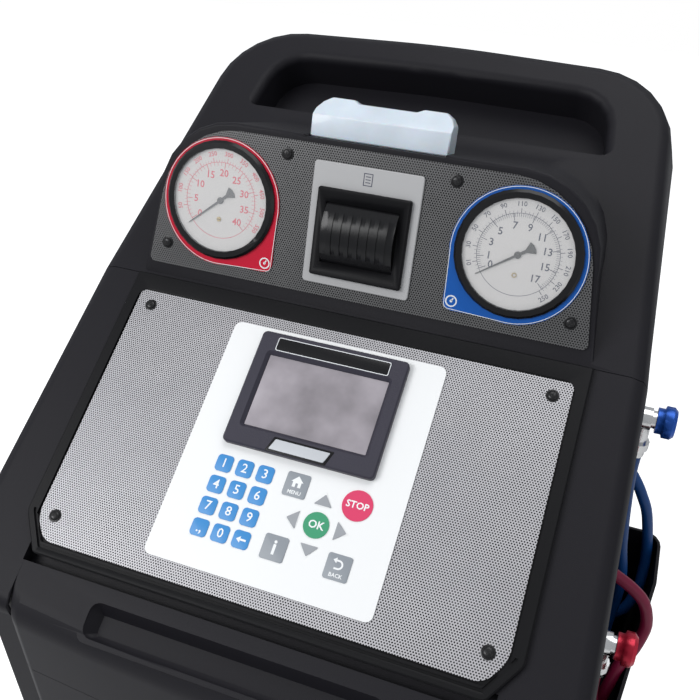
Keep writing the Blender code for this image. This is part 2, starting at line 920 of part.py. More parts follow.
def far_block(low, high):
    """A block for trimming: an end given as None reaches past everything on that side."""
    start = [-CUT_FAR if value is None else value for value in low]
    end = [CUT_FAR if value is None else value for value in high]
    return block(start, end)


def printer_opening():
    """Outline of the hole for the printer's can."""
    return rounded(
        rectangle(
            PRINTER_HALF - PRINTER_BODY_INSET + RUNNING,
            PRINTER_BOTTOM + PRINTER_BODY_INSET - RUNNING,
            PRINTER_TOP - PRINTER_BODY_INSET + RUNNING,
        )
    )


def hump(console_plane, gauge_plane):
    """Solid body of the gauge housing, kept above the underside of the cover."""
    housing = slab(hump_corners(), -HUMP_DEPTH, HUMP_FACE, HUMP_EDGE)
    body = tool("hump_body", housing, gauge_plane)
    under_lid = far_block((None, None, None), (None, None, LID_FACE - CASING_WALL / 2))
    return combine(body, tool("hump_under_lid", under_lid, console_plane))


def light_seat(casing, gauge_plane):
    """Pocket for the status light, cut into the top of the housing and open in front."""
    seat_half = LIGHT_HALF + CASING_WALL
    seat_block = block(
        (-seat_half, LIGHT_BOTTOM - CASING_WALL, LIGHT_BACK - CASING_WALL),
        (seat_half, HUMP_TOP - RUNNING, HUMP_FACE - RUNNING),
    )
    combine(casing, tool("light_seat", seat_block, gauge_plane), "UNION")
    notch = block(
        (-LIGHT_HALF - RUNNING, LIGHT_BOTTOM - GAP, LIGHT_BACK - RUNNING),
        (LIGHT_HALF + RUNNING, LIGHT_TOP + CUT_PAST, CUT_PAST),
    )
    combine(casing, tool("light_notch", notch, gauge_plane))


def upper_casing(console_plane, gauge_plane):
    """Rear top casing with the gauge housing, the grip pocket and the handle bar."""
    casing = lid_shell("upper_casing", console_plane)
    combine(casing, hump(console_plane, gauge_plane), "UNION")
    combine(casing, lid_hollow("upper_hollow", console_plane))
    hollow_outline = rounded(inset(hump_corners(), CASING_WALL))
    hollow = prism(bmesh.new(), hollow_outline, -HUMP_DEPTH, HUMP_FACE - CASING_WALL)
    combine(casing, tool("hump_hollow", hollow, gauge_plane))
    combine(casing, grip_shell("grip_wall", console_plane), "UNION")
    combine(casing, grip_pocket("grip_space", console_plane))
    for side, name in ((-1, "low_gauge_hole"), (1, "high_gauge_hole")):
        hole = prism(bmesh.new(), disc(CASE_RADIUS + 2 * RUNNING), -CUT_PAST, CUT_PAST)
        combine(casing, tool(name, hole, gauge_plane, (side * GAUGE_X, GAUGE_UP, 0)))
    printer_cut = prism(bmesh.new(), printer_opening(), -CUT_PAST, CUT_PAST)
    combine(casing, tool("printer_hole", printer_cut, gauge_plane))
    light_seat(casing, gauge_plane)
    in_front = far_block((None, None, None), (None, SEAM_LINE + CASING_SEAM / 2, None))
    combine(casing, tool("before_seam", in_front, console_plane))
    return casing


def chin_front(x, wall=0.0):
    """How far forward the nose stands at x, with its bow and its rounded corners."""
    half = CHIN_HALF - wall
    corner = CHIN_CORNER
    front = -(NOSE_REACH - wall) + CHIN_BOW * (x / CHIN_HALF) ** 2
    past = abs(x) - (half - corner)
    if past > 0.0:
        front += corner - math.sqrt(max(corner**2 - past**2, 0.0))
    return front


def chin_stations(wall):
    half = CHIN_HALF - wall
    flat = half - CHIN_CORNER
    middle = [flat * share for share in CHIN_MIDDLE]
    ends = [flat + CHIN_CORNER * math.sin(math.radians(angle)) for angle in CHIN_ENDS]
    return [-end for end in reversed(ends)] + middle + ends


def chin_body(wall, bottom, back):
    """Nose lofted from side to side: slope, rounded brow, upright front. Seam axes, level."""
    slope = math.tan(CONSOLE_TILT)
    normal_tilt = math.pi / 2 + CONSOLE_TILT
    drop = (wall - LID_FACE) / math.cos(CONSOLE_TILT) + NOSE_SINK
    radius = CHIN_ROUND - wall
    sections = []
    for x in chin_stations(wall):
        front = chin_front(x, wall)
        brow_y = front + radius * (1 - math.cos(math.pi - normal_tilt))
        brow_z = slope * brow_y - drop
        centre = Vector((front + radius, brow_z - radius * math.sin(normal_tilt)))
        section = [(x, back, slope * back - drop), (x, brow_y, brow_z)]
        for step in range(1, BROW_STEPS + 1):
            angle = normal_tilt + (math.pi - normal_tilt) * step / BROW_STEPS
            y = centre.x + radius * math.cos(angle)
            z = centre.y + radius * math.sin(angle)
            section.append((x, y, z))
        section.append((x, front, bottom))
        section.append((x, back, bottom))
        sections.append([Vector(point) for point in section])
    return loft(bmesh.new(), sections)


def tray_space(name, console_plane, grow=0.0, top=CUT_PAST):
    """Long shallow pocket across the nose, with sloping walls."""
    rim = rectangle(TRAY_HALF + grow, TRAY_BOTTOM - grow, TRAY_TOP + grow, TRAY_ROUND)
    bottom = inset(rim, [TRAY_SLOPE / 2, TRAY_SLOPE, TRAY_SLOPE, TRAY_SLOPE])
    sections = [
        level(rounded(bottom), LID_FACE - TRAY_DEPTH - grow),
        level(rounded(rim), LID_FACE - TRAY_LIP),
        level(rounded(rim), top),
    ]
    return tool(name, loft(bmesh.new(), sections), console_plane)


def nose(casing, seam_datum, console_plane):
    """Gives the cover its nose: the slope's middle rolls over into the upright front."""
    middle = CHIN_HALF - RUNNING
    ahead = far_block((-middle, None, None), (middle, TROUGH_BOTTOM, None))
    combine(casing, tool("slope_middle", ahead, console_plane))
    chin = chin_body(0.0, -CHIN_DROP, -CHIN_BACK)
    combine(casing, tool("chin_body", chin, seam_datum), "UNION")
    combine(casing, lid_hollow("front_hollow", console_plane))
    chin_space = chin_body(CASING_WALL, -CHIN_DROP - CUT_PAST, -CHIN_SPACE_BACK)
    combine(casing, tool("chin_hollow", chin_space, seam_datum))


def front_casing(console_plane, seam_datum):
    """Front top casing: console slope, nose with its pocket, and shadow trough."""
    casing = lid_shell("front_casing", console_plane)
    nose(casing, seam_datum, console_plane)
    wrap = tray_space("tray_wall", console_plane, CASING_WALL, LID_FACE - CASING_WALL / 2)
    combine(casing, wrap, "UNION")
    trough_low = LID_FACE - TROUGH_DEPTH
    trough_wall = block(
        (-TROUGH_HALF - CASING_WALL, TROUGH_BOTTOM - CASING_WALL, trough_low - CASING_WALL),
        (TROUGH_HALF + CASING_WALL, TROUGH_TOP + CASING_WALL, LID_FACE - CASING_WALL / 2),
    )
    combine(casing, tool("trough_wall", trough_wall, console_plane), "UNION")
    combine(casing, tray_space("tray_space", console_plane))
    trough = block((-TROUGH_HALF, TROUGH_BOTTOM, trough_low), (TROUGH_HALF, TROUGH_TOP, CUT_PAST))
    combine(casing, tool("trough_space", trough, console_plane))
    opening = block(
        (-OPENING_HALF, OPENING_BOTTOM, LID_FACE - LID_DEPTH),
        (OPENING_HALF, OPENING_TOP, CUT_PAST),
    )
    combine(casing, tool("console_opening", opening, console_plane))
    behind = far_block((None, SEAM_LINE - CASING_SEAM / 2, None), (None, None, None))
    combine(casing, tool("behind_seam", behind, console_plane))
    return casing


# Console


def frame_corners():
    return [
        (-FRAME_HALF + FRAME_CORNER_SIDE, FRAME_BOTTOM, FRAME_ROUND),
        (FRAME_HALF - FRAME_CORNER_SIDE, FRAME_BOTTOM, FRAME_ROUND),
        (FRAME_HALF, FRAME_BOTTOM + FRAME_CHAMFER, FRAME_ROUND * 2),
        (FRAME_HALF, FRAME_TOP, 0.0),
        (-FRAME_HALF, FRAME_TOP, 0.0),
        (-FRAME_HALF, FRAME_BOTTOM + FRAME_CHAMFER, FRAME_ROUND * 2),
    ]


def plate_corners():
    return [
        (-PLATE_HALF + PLATE_CORNER_SIDE, PLATE_BOTTOM, PLATE_CORNER),
        (PLATE_HALF - PLATE_CORNER_SIDE, PLATE_BOTTOM, PLATE_CORNER),
        (PLATE_HALF, PLATE_BOTTOM + PLATE_CHAMFER, PLATE_CORNER),
        (PLATE_HALF, PLATE_TOP, PLATE_ROUND),
        (-PLATE_HALF, PLATE_TOP, PLATE_ROUND),
        (-PLATE_HALF, PLATE_BOTTOM + PLATE_CHAMFER, PLATE_CORNER),
    ]


def groove_outline():
    """A narrow band that follows the frame's two lower corners and its bottom edge."""
    outer = rounded(inset(frame_corners(), GROOVE_IN))
    inner = rounded(inset(frame_corners(), GROOVE_IN + GROOVE_WIDTH))
    lower = FRAME_BOTTOM + 2 * FRAME_CHAMFER
    outer_run = sorted((point for point in outer if point.y < lower), key=lambda point: point.x)
    inner_run = sorted((point for point in inner if point.y < lower), key=lambda point: point.x)
    return outer_run + list(reversed(inner_run))


def console_frame(console_plane):
    """Charcoal frame round the perforated plate, with a grooved, lipped lower edge."""
    body = slab(frame_corners(), LID_FACE + GAP, FRAME_FACE, FRAME_EDGE, steps=1)
    frame = solid("console_frame", body, frame_finish(), console_plane)
    skirt_half = FRAME_HALF - FRAME_CORNER_SIDE - FRAME_ROUND
    skirt = block(
        (-skirt_half, FRAME_BOTTOM + RUNNING, LID_FACE - FRAME_SKIRT),
        (skirt_half, FRAME_BOTTOM + FRAME_LIP, FRAME_FACE - SKIRT_SINK),
    )
    combine(frame, tool("frame_skirt", skirt, console_plane), "UNION")
    recess_outline = rounded(inset(plate_corners(), -PLATE_MARGIN))
    recess = prism(bmesh.new(), recess_outline, -PLATE_THICK - GAP, CUT_PAST)
    combine(frame, tool("plate_recess", recess, console_plane))
    window = prism(bmesh.new(), rounded(inset(plate_corners(), LEDGE)), -CUT_PAST, CUT_PAST)
    combine(frame, tool("frame_window", window, console_plane))
    groove = prism(bmesh.new(), groove_outline(), FRAME_FACE - GROOVE_DEPTH, CUT_PAST)
    combine(frame, tool("frame_groove", groove, console_plane))
    return frame


def console_plate(console_plane):
    outline = rounded(plate_corners())
    plate = prism(bmesh.new(), outline, -PLATE_THICK, 0.0)
    return solid("console_plate", plate, perforated_finish(), console_plane)


def key_places():
    """Every key as (centre, outline) on the console slope."""
    places = []
    square = rounded(rectangle(KEY_SIDE / 2, -KEY_SIDE / 2, KEY_SIDE / 2, KEY_ROUND), 1)
    for row in range(4):
        for column in range(3):
            centre = Vector((KEYPAD_LEFT + column * KEY_PITCH, KEYPAD_TOP - row * KEY_PITCH))
            places.append((centre, square))
    icon = rounded(rectangle(ICON_SIDE / 2, -ICON_SIDE / 2, ICON_SIDE / 2, ICON_ROUND), 1)
    for centre in (MENU_CENTRE, INFO_CENTRE, BACK_CENTRE):
        places.append((Vector(centre), icon))
    places.append((Vector(OK_CENTRE), disc(OK_RADIUS, SMALL_STEPS)))
    places.append((Vector(STOP_CENTRE), disc(STOP_RADIUS, SMALL_STEPS)))
    arrow = [Vector((-ARROW_SIDE / 2, 0)), Vector((ARROW_SIDE / 2, 0)), Vector((0, ARROW_SIDE))]
    for quarter in range(4):
        spin = Matrix.Rotation(math.pi / 2 * quarter, 2)
        out = Vector((0, ARROW_REACH - ARROW_SIDE / 2))
        places.append((Vector(OK_CENTRE), [spin @ (point + out) for point in arrow]))
    return places


def keypad_membrane(console_plane):
    """One flexible overlay, with every key embossed a little above it."""
    sheet = bmesh.new()
    outline = rounded(rectangle(MEMBRANE_HALF, MEMBRANE_BOTTOM, MEMBRANE_TOP, MEMBRANE_ROUND))
    prism(sheet, outline, GAP, GAP + MEMBRANE_THICK)
    membrane = solid("keypad_membrane", sheet, membrane_finish(), console_plane)
    keys = bmesh.new()
    for centre, shape in key_places():
        placed = [point + centre for point in shape]
        prism(keys, placed, GAP + MEMBRANE_THICK / 2, GAP + MEMBRANE_THICK + KEY_LIFT)
    combine(membrane, tool("embossed_keys", keys, console_plane), "UNION")
    return membrane


def display(console_plane):
    """Bezel with a stepped window, and the screen behind it."""
    seat = 2 * GAP + MEMBRANE_THICK
    top = seat + DISPLAY_THICK
    corners = rectangle(DISPLAY_HALF, DISPLAY_BOTTOM, DISPLAY_TOP, DISPLAY_ROUND)
    body = slab(corners, seat, top, DISPLAY_EDGE, steps=1)
    bezel = solid("display_bezel", body, bezel_finish(), console_plane)
    window = rectangle(SCREEN_HALF, SCREEN_BOTTOM, SCREEN_TOP, SCREEN_CORNER)
    step = inset(window, -SCREEN_STEP)
    sections = [
        level(rounded(window), seat - CUT_PAST),
        level(rounded(window), top - SCREEN_SINK),
        level(rounded(step), top + GAP),
        level(rounded(step), top + CUT_PAST),
    ]
    combine(bezel, tool("display_window", loft(bmesh.new(), sections), console_plane))
    glass = prism(bmesh.new(), rounded(inset(window, GAP)), seat, top - SCREEN_SINK - GAP)
    solid("display_screen", glass, screen_finish(), console_plane)
    return bezel


# Gauge face


def gauge_plate(gauge_plane):
    top_half = GAUGE_PLATE_HALF_TOP
    corners = [
        (-GAUGE_PLATE_HALF, GAUGE_PLATE_BOTTOM, GAUGE_PLATE_CORNER),
        (GAUGE_PLATE_HALF, GAUGE_PLATE_BOTTOM, GAUGE_PLATE_CORNER),
        (top_half, GAUGE_PLATE_SHOULDER, 0.0),
        (top_half, GAUGE_PLATE_TOP, GAUGE_PLATE_ROUND),
        (-top_half, GAUGE_PLATE_TOP, GAUGE_PLATE_ROUND),
        (-top_half, GAUGE_PLATE_SHOULDER, 0.0),
    ]
    body = prism(bmesh.new(), rounded(corners), HUMP_FACE + GAP, 0.0)
    plate = solid("gauge_plate", body, perforated_finish(), gauge_plane)
    for side, name in ((-1, "low_plate_hole"), (1, "high_plate_hole")):
        hole = prism(bmesh.new(), disc(CASE_RADIUS + 2 * RUNNING), -CUT_PAST, CUT_PAST)
        combine(plate, tool(name, hole, gauge_plane, (side * GAUGE_X, GAUGE_UP, 0)))
    cut = prism(bmesh.new(), printer_opening(), -CUT_PAST, CUT_PAST)
    combine(plate, tool("plate_window", cut, gauge_plane))
    return plate


def gauge_badge(name, side, material, gauge_plane):
    """Coloured disc round the gauge, drawn out to a square corner below and inwards."""
    place = (side * GAUGE_X, GAUGE_UP - BADGE_DROP, GAP)
    body = prism(bmesh.new(), disc(BADGE_RADIUS, RING_STEPS), 0.0, BADGE_THICK)
    badge = solid(name, body, material, gauge_plane, place)
    inwards = -side
    left, right = sorted((0.0, inwards * BADGE_CORNER))
    corner = [
        (left, -BADGE_CORNER, BADGE_ROUND if inwards < 0 else 0.0),
        (right, -BADGE_CORNER, BADGE_ROUND if inwards > 0 else 0.0),
        (right, 0.0, 0.0),
        (left, 0.0, 0.0),
    ]
    corner_body = prism(bmesh.new(), rounded(corner), 0.0, BADGE_THICK)
    combine(badge, tool(f"{name}_corner", corner_body, gauge_plane, place), "UNION")
    hole = prism(bmesh.new(), disc(CASE_RADIUS + 2 * RUNNING), -CUT_PAST, CUT_PAST)
    combine(badge, tool(f"{name}_hole", hole, gauge_plane, (side * GAUGE_X, GAUGE_UP, 0)))
    return badge


def gauge_case(name, gauge_plane, place):
    """Deep cup with a thick rounded ring in front and a threaded stem behind."""
    seat = BADGE_THICK + 2 * GAP
    front = seat + RING_PROUD
    dial_seat = front - DIAL_SINK
    profile = [
        (DIAL_RADIUS, front),
        (RING_RADIUS - RING_EDGE, front),
        (RING_RADIUS, front - RING_EDGE),
        (RING_RADIUS, seat),
        (CASE_RADIUS, seat),
        (CASE_RADIUS, -CASE_DEPTH),
        (STEM_RADIUS, -CASE_DEPTH),
        (STEM_RADIUS, -CASE_DEPTH - STEM_LENGTH),
        (0.0, -CASE_DEPTH - STEM_LENGTH),
        (0.0, -CASE_DEPTH + CASE_WALL),
        (DIAL_RADIUS - DIAL_LEDGE, -CASE_DEPTH + CASE_WALL),
        (DIAL_RADIUS - DIAL_LEDGE, dial_seat),
        (DIAL_RADIUS, dial_seat),
    ]
    return solid(name, turned(profile, RING_STEPS), gloss_finish(), gauge_plane, place)


def gauge_inside(prefix, gauge_plane, place):
    """Dial with its spindle hole, and the glass."""
    front = BADGE_THICK + 2 * GAP + RING_PROUD
    dial_back = front - DIAL_SINK + GAP
    dial_profile = [
        (POINTER_PIN + PIN_CLEARANCE, dial_back + DIAL_THICK),
        (DIAL_RADIUS - GAP, dial_back + DIAL_THICK),
        (DIAL_RADIUS - GAP, dial_back),
        (POINTER_PIN + PIN_CLEARANCE, dial_back),
    ]
    dial_body = turned(dial_profile, RING_STEPS)
    solid(f"{prefix}_gauge_dial", dial_body, dial_finish(), gauge_plane, place)
    lens_top = front - LENS_SINK
    glass = [
        (0.0, lens_top),
        (DIAL_RADIUS - GAP, lens_top),
        (DIAL_RADIUS - GAP, lens_top - LENS_THICK),
        (0.0, lens_top - LENS_THICK),
    ]
    lens = turned(glass, RING_STEPS)
    solid(f"{prefix}_gauge_lens", lens, glass_finish(), gauge_plane, place)
    return dial_back + DIAL_THICK


def pointer(name, gauge_plane, place, dial_face, rest):
    """Slim needle with a spade tail, round hub and a pin that turns in the dial's hole."""
    low = dial_face + POINTER_LIFT
    half_outline = [
        (NEEDLE_WAIST, -POINTER_HUB / 2),
        (TAIL_WAIST, -POINTER_TAIL / 2),
        (TAIL_HALF, -POINTER_TAIL + TAIL_WAIST),
        (TAIL_END_HALF, -POINTER_TAIL),
    ]
    left = [Vector((-x, y)) for x, y in half_outline]
    right = [Vector(point) for point in reversed(half_outline)]
    tip = [Vector((NEEDLE_TIP, POINTER_LENGTH)), Vector((-NEEDLE_TIP, POINTER_LENGTH))]
    needle_body = prism(bmesh.new(), left + right + tip, low, low + POINTER_THICK)
    needle = solid(name, needle_body, gloss_finish(), gauge_plane, place, (0, 0, -rest))
    hub_profile = [
        (0.0, low + HUB_CROWN),
        (POINTER_HUB, low + HUB_RIM),
        (POINTER_HUB, low - HUB_CLEARANCE),
        (POINTER_PIN, low - HUB_CLEARANCE),
        (POINTER_PIN, dial_face - PIN_DEPTH),
        (0.0, dial_face - PIN_DEPTH),
    ]
    hub = turned(hub_profile, FINE_STEPS)
    combine(needle, tool(f"{name}_hub", hub, gauge_plane, place), "UNION")
    return needle


def gauges(gauge_plane):
    sides = (
        (-1, "low", red_finish(), LOW_POINTER_REST),
        (1, "high", blue_finish(), HIGH_POINTER_REST),
    )
    for side, prefix, material, rest in sides:
        place = (side * GAUGE_X, GAUGE_UP, 0.0)
        gauge_badge(f"{prefix}_gauge_badge", side, material, gauge_plane)
        gauge_case(f"{prefix}_gauge_case", gauge_plane, place)
        dial_face = gauge_inside(prefix, gauge_plane, place)
        pointer(f"{prefix}_gauge_pointer", gauge_plane, place, dial_face, rest)


# Ticket printer and status light


def printer(gauge_plane):
    """Grey surround, and the printer's can with the paper roll in its well."""
    corners = rectangle(SURROUND_HALF, SURROUND_BOTTOM, SURROUND_TOP, SURROUND_ROUND)
    frame_body = slab(corners, GAP, SURROUND_THICK, SURROUND_EDGE, steps=1)
    surround = solid("printer_surround", frame_body, surround_finish(), gauge_plane)
    window = prism(bmesh.new(), printer_opening(), -CUT_PAST, CUT_PAST)
    combine(surround, tool("surround_window", window, gauge_plane))
    seat = SURROUND_THICK + GAP
    flange_corners = rectangle(PRINTER_HALF, PRINTER_BOTTOM, PRINTER_TOP, PRINTER_CORNER)
    flange = slab(flange_corners, seat, seat + PRINTER_FLANGE, PRINTER_EDGE, steps=1)
    body = solid("printer_body", flange, bezel_finish(), gauge_plane)
    can_half = PRINTER_HALF - PRINTER_BODY_INSET
    can_bottom = PRINTER_BOTTOM + PRINTER_BODY_INSET
    can_top = PRINTER_TOP - PRINTER_BODY_INSET
    can_front = seat + PRINTER_FLANGE / 2
    can = block((-can_half, can_bottom, -PRINTER_DEPTH), (can_half, can_top, can_front))
    combine(body, tool("printer_can", can, gauge_plane), "UNION")
    well_back = -PRINTER_DEPTH + WELL_WALL
    well = block((-WELL_HALF, WELL_BOTTOM, well_back), (WELL_HALF, WELL_TOP, CUT_PAST))
    combine(body, tool("printer_well", well, gauge_plane))
    roll_place = (0.0, WELL_BOTTOM + GAP + ROLL_RADIUS, well_back + GAP + ROLL_RADIUS)
    roll_profile = [
        (ROLL_CORE, ROLL_LENGTH / 2),
        (ROLL_RADIUS, ROLL_LENGTH / 2),
        (ROLL_RADIUS, -ROLL_LENGTH / 2),
        (ROLL_CORE, -ROLL_LENGTH / 2),
    ]
    roll = turned(roll_profile, ROLL_STEPS)
    solid("paper_roll", roll, paper_finish(), gauge_plane, roll_place, ACROSS)
    return body


def door_arc(radius, share):
    """Point on the printer door's curve, from its hinge at share 0 to its tear edge at 1."""
    height = WELL_TOP - WELL_BOTTOM - 2 * RUNNING
    half_angle = 2 * math.atan(2 * DOOR_BULGE / height)
    arc_radius = height / 2 / math.sin(half_angle)
    angle = half_angle * (2 * share - 1)
    up = height / 2 + (arc_radius - radius) * math.sin(angle)
    out = (arc_radius - radius) * math.cos(angle) - arc_radius * math.cos(half_angle)
    return up, out


def printer_door(gauge_plane):
    """Bulging door, hinged on its lower edge, with ribs that run up its face."""
    half = WELL_HALF - RUNNING
    hinge = (0.0, WELL_BOTTOM + RUNNING, SURROUND_THICK + GAP + PRINTER_FLANGE / 2)
    outer = [door_arc(0.0, i / DOOR_STEPS) for i in range(DOOR_STEPS + 1)]
    inner = [door_arc(DOOR_SHEET, i / DOOR_STEPS) for i in range(DOOR_STEPS + 1)]
    outline = outer + list(reversed(inner))
    sections = [[Vector((x, up, out)) for up, out in outline] for x in (-half, half)]
    sheet = loft(bmesh.new(), sections)
    door = solid("printer_door", sheet, gloss_finish(), gauge_plane, hinge)
    ribs = bmesh.new()
    rib_outer = [door_arc(-RIB_HEIGHT, i / DOOR_STEPS) for i in range(1, DOOR_STEPS)]
    rib_inner = [door_arc(DOOR_SHEET / 2, i / DOOR_STEPS) for i in range(1, DOOR_STEPS)]
    rib_outline = rib_outer + list(reversed(rib_inner))
    rib_pitch = 2 * half / (DOOR_RIBS + 1)
    for index in range(1, DOOR_RIBS + 1):
        middle = -half + index * rib_pitch
        edges = (middle - rib_pitch / 4, middle + rib_pitch / 4)
        loft(ribs, [[Vector((x, up, out)) for up, out in rib_outline] for x in edges])
    combine(door, tool("door_ribs", ribs, gauge_plane, hinge), "UNION")
    return door


def status_light(gauge_plane):
    """Frosted warning light in a notch on top of the gauge housing, its upper front sloping."""
    bm = prism(bmesh.new(), light_outline(), LIGHT_BACK, LIGHT_FRONT)
    light = solid("status_light", bm, light_finish(), gauge_plane)
    slope = [
        (LIGHT_RIDGE, LIGHT_FRONT),
        (LIGHT_TOP, LIGHT_CREST),
        (LIGHT_TOP + CUT_PAST, LIGHT_CREST),
        (LIGHT_TOP + CUT_PAST, LIGHT_FRONT + CUT_PAST),
        (LIGHT_RIDGE, LIGHT_FRONT + CUT_PAST),
    ]
    ends = (-LIGHT_HALF - CUT_PAST, LIGHT_HALF + CUT_PAST)
    wedge = loft(bmesh.new(), [[Vector((x, up, out)) for up, out in slope] for x in ends])
    combine(light, tool("light_slope", wedge, gauge_plane))
    soften = light.modifiers.new("Softened edges", "BEVEL")
    soften.width = LIGHT_EDGE
    soften.segments = 1
    soften.limit_method = "ANGLE"
    soften.angle_limit = math.radians(25)
    return light


# Cabinet


def body_half(y, inward=0.0):
    """Half-width of the cabinet at y: it tapers towards the back."""
    share = (y + FLANK_FRONT) / (BODY_REAR + FLANK_FRONT)
    half = BODY_HALF_FRONT + (BODY_HALF_REAR - BODY_HALF_FRONT) * share
    return half - inward


def side_panel(name, side, console_plane):
    """Folded side sheet with a flange at the front and at the back, cut to the slope on top."""
    front = -FLANK_FRONT
    outline = [
        (body_half(front), front),
        (body_half(BODY_REAR), BODY_REAR),
        (body_half(BODY_REAR) - REAR_FLANGE, BODY_REAR),
        (body_half(BODY_REAR) - REAR_FLANGE, BODY_REAR - PANEL_WALL),
        (body_half(BODY_REAR) - PANEL_WALL, BODY_REAR - PANEL_WALL),
        (body_half(front) - PANEL_WALL, front + PANEL_WALL),
        (body_half(front) - FRONT_FLANGE, front + PANEL_WALL),
        (body_half(front) - FRONT_FLANGE, front),
    ]
    ordered = [(side * x, y) for x, y in outline]
    if side < 0:
        ordered.reverse()
    sheet = prism(bmesh.new(), ordered, BASE_TOP, SEAM_HEIGHT + LID_TOP)
    panel = solid(name, sheet, casing_finish())
    above = far_block((None, None, LID_FACE - LID_EDGE), (None, None, None))
    combine(panel, tool(f"{name}_above", above, console_plane))
    return panel


def base_tray():
    """Pressed floor pan of the chassis, with its rim turned up under the panels."""
    front = -FLANK_FRONT
    corners = [
        (-body_half(front), front, BASE_CORNER),
        (body_half(front), front, BASE_CORNER),
        (body_half(BODY_REAR), BODY_REAR, BASE_CORNER),
        (-body_half(BODY_REAR), BODY_REAR, BASE_CORNER),
    ]
    rim = BASE_TOP - GAP
    pan = prism(bmesh.new(), rounded(corners, BASE_STEPS), BASE_BOTTOM, rim)
    tray = solid("base_tray", pan, painted_finish())
    inner = rounded(inset(corners, PANEL_WALL), BASE_STEPS)
    space = prism(bmesh.new(), inner, BASE_BOTTOM + PANEL_WALL, rim + CUT_PAST)
    combine(tray, tool("tray_hollow", space))
    bore = prism(bmesh.new(), disc(AXLE_RADIUS + GAP, SMALL_STEPS), -CUT_FAR, CUT_FAR)
    combine(tray, tool("axle_bore", bore, None, AXLE_PLACE, ACROSS))
    return tray


def lower_front_cover():
    """Bowed front cover that carries the nose's shape down to the base."""
    top = SEAM_HEIGHT - CHIN_DROP - CASING_SEAM
    bottom = BASE_TOP + 2 * GAP
    outer = [(x, chin_front(x) + SEAM_Y) for x in chin_stations(0.0)]
    inner = [(x, chin_front(x, CASING_WALL) + SEAM_Y) for x in chin_stations(CASING_WALL)]
    back = -FLANK_FRONT - GAP
    right = [(outer[-1][0], back), (inner[-1][0], back)]
    left = [(inner[0][0], back), (outer[0][0], back)]
    outline = outer + right + list(reversed(inner)) + left
    return solid("lower_front_cover", prism(bmesh.new(), outline, bottom, top), casing_finish())


def rear_cover():
    """Dished steel back with a louvred window and the mains inlet's cut-out."""
    low = BODY_REAR + GAP
    half = REAR_COVER_HALF
    back = low + REAR_COVER_DEPTH
    body = block((-half, low, BASE_TOP), (half, back, REAR_COVER_TOP))
    cover = solid("rear_cover", body, painted_finish())
    space = block(
        (-half + PANEL_WALL, low - CUT_PAST, BASE_TOP + PANEL_WALL),
        (half - PANEL_WALL, back - PANEL_WALL / 2, REAR_COVER_TOP - PANEL_WALL),
    )
    combine(cover, tool("rear_hollow", space))
    slots = bmesh.new()
    for index in range(LOUVRES):
        z = LOUVRE_BOTTOM + index * LOUVRE_PITCH
        top = z + LOUVRE_HEIGHT
        box(slots, (-LOUVRE_HALF, low - CUT_PAST, z), (LOUVRE_HALF, back + CUT_PAST, top))
    combine(cover, tool("rear_louvres", slots))
    wide = INLET_HALF_X + RUNNING
    tall = INLET_HALF_Z + RUNNING
    cut = block(
        (INLET_X - wide, low - CUT_PAST, INLET_Z - tall),
        (INLET_X + wide, back + CUT_PAST, INLET_Z + tall),
    )
    combine(cover, tool("inlet_cut", cut))
    return cover


def inner_shelf():
    """Shelf for the machinery, folded down at both sides and screwed to the side panels."""
    front = -SHELF_FRONT
    clearance = PANEL_WALL + GAP
    corners = [
        (-body_half(front, clearance), front),
        (body_half(front, clearance), front),
        (body_half(SHELF_REAR, clearance), SHELF_REAR),
        (-body_half(SHELF_REAR, clearance), SHELF_REAR),
    ]
    body = prism(bmesh.new(), corners, SHELF_HEIGHT - SHELF_FLANGE, SHELF_HEIGHT)
    shelf = solid("inner_shelf", body, steel_finish())
    inner = []
    for x, y in corners:
        inner.append((x - math.copysign(SHELF_THICK, x), y + math.copysign(CUT_PAST, y)))
    under = SHELF_HEIGHT - SHELF_FLANGE - CUT_PAST
    space = prism(bmesh.new(), inner, under, SHELF_HEIGHT - SHELF_THICK)
    combine(shelf, tool("shelf_space", space))
    return shelf


# Running gear


def wheel_profile():
    half = WHEEL_WIDTH / 2
    return [
        (WHEEL_BORE, half),
        (HUB_RADIUS, half),
        (HUB_RADIUS, half - RIM_SINK),
        (RIM_RADIUS, half - RIM_SINK),
        (RIM_RADIUS, half),
        (WHEEL_RADIUS - TYRE_SHOULDER, half),
        (WHEEL_RADIUS, half - TYRE_SHOULDER),
        (WHEEL_RADIUS, -half + TYRE_SHOULDER),
        (WHEEL_RADIUS - TYRE_SHOULDER, -half),
        (WHEEL_BORE, -half),
    ]


def rear_wheel(name, side):
    """Solid-tyred wheel whose disc has five windows between its spokes."""
    place = (side * WHEEL_X, HALF_DEPTH - WHEEL_RADIUS, WHEEL_RADIUS)
    turn = (0, side * math.pi / 2, 0)
    wheel = solid(name, turned(wheel_profile()), rubber_finish(), None, place, turn)
    windows = bmesh.new()
    for index in range(SPOKES):
        start = math.tau * index / SPOKES + SPOKE_ANGLE / 2
        stop = math.tau * (index + 1) / SPOKES - SPOKE_ANGLE / 2
        outline = []
        for radius, first, last in ((WINDOW_OUTER, start, stop), (WINDOW_INNER, stop, start)):
            for step in range(WINDOW_STEPS + 1):
                angle = first + (last - first) * step / WINDOW_STEPS
                outline.append(Vector((radius * math.cos(angle), radius * math.sin(angle))))
        prism(windows, outline, -WHEEL_WIDTH, WHEEL_WIDTH)
    combine(wheel, tool(f"{name}_windows", windows, None, place, turn))
    return wheel


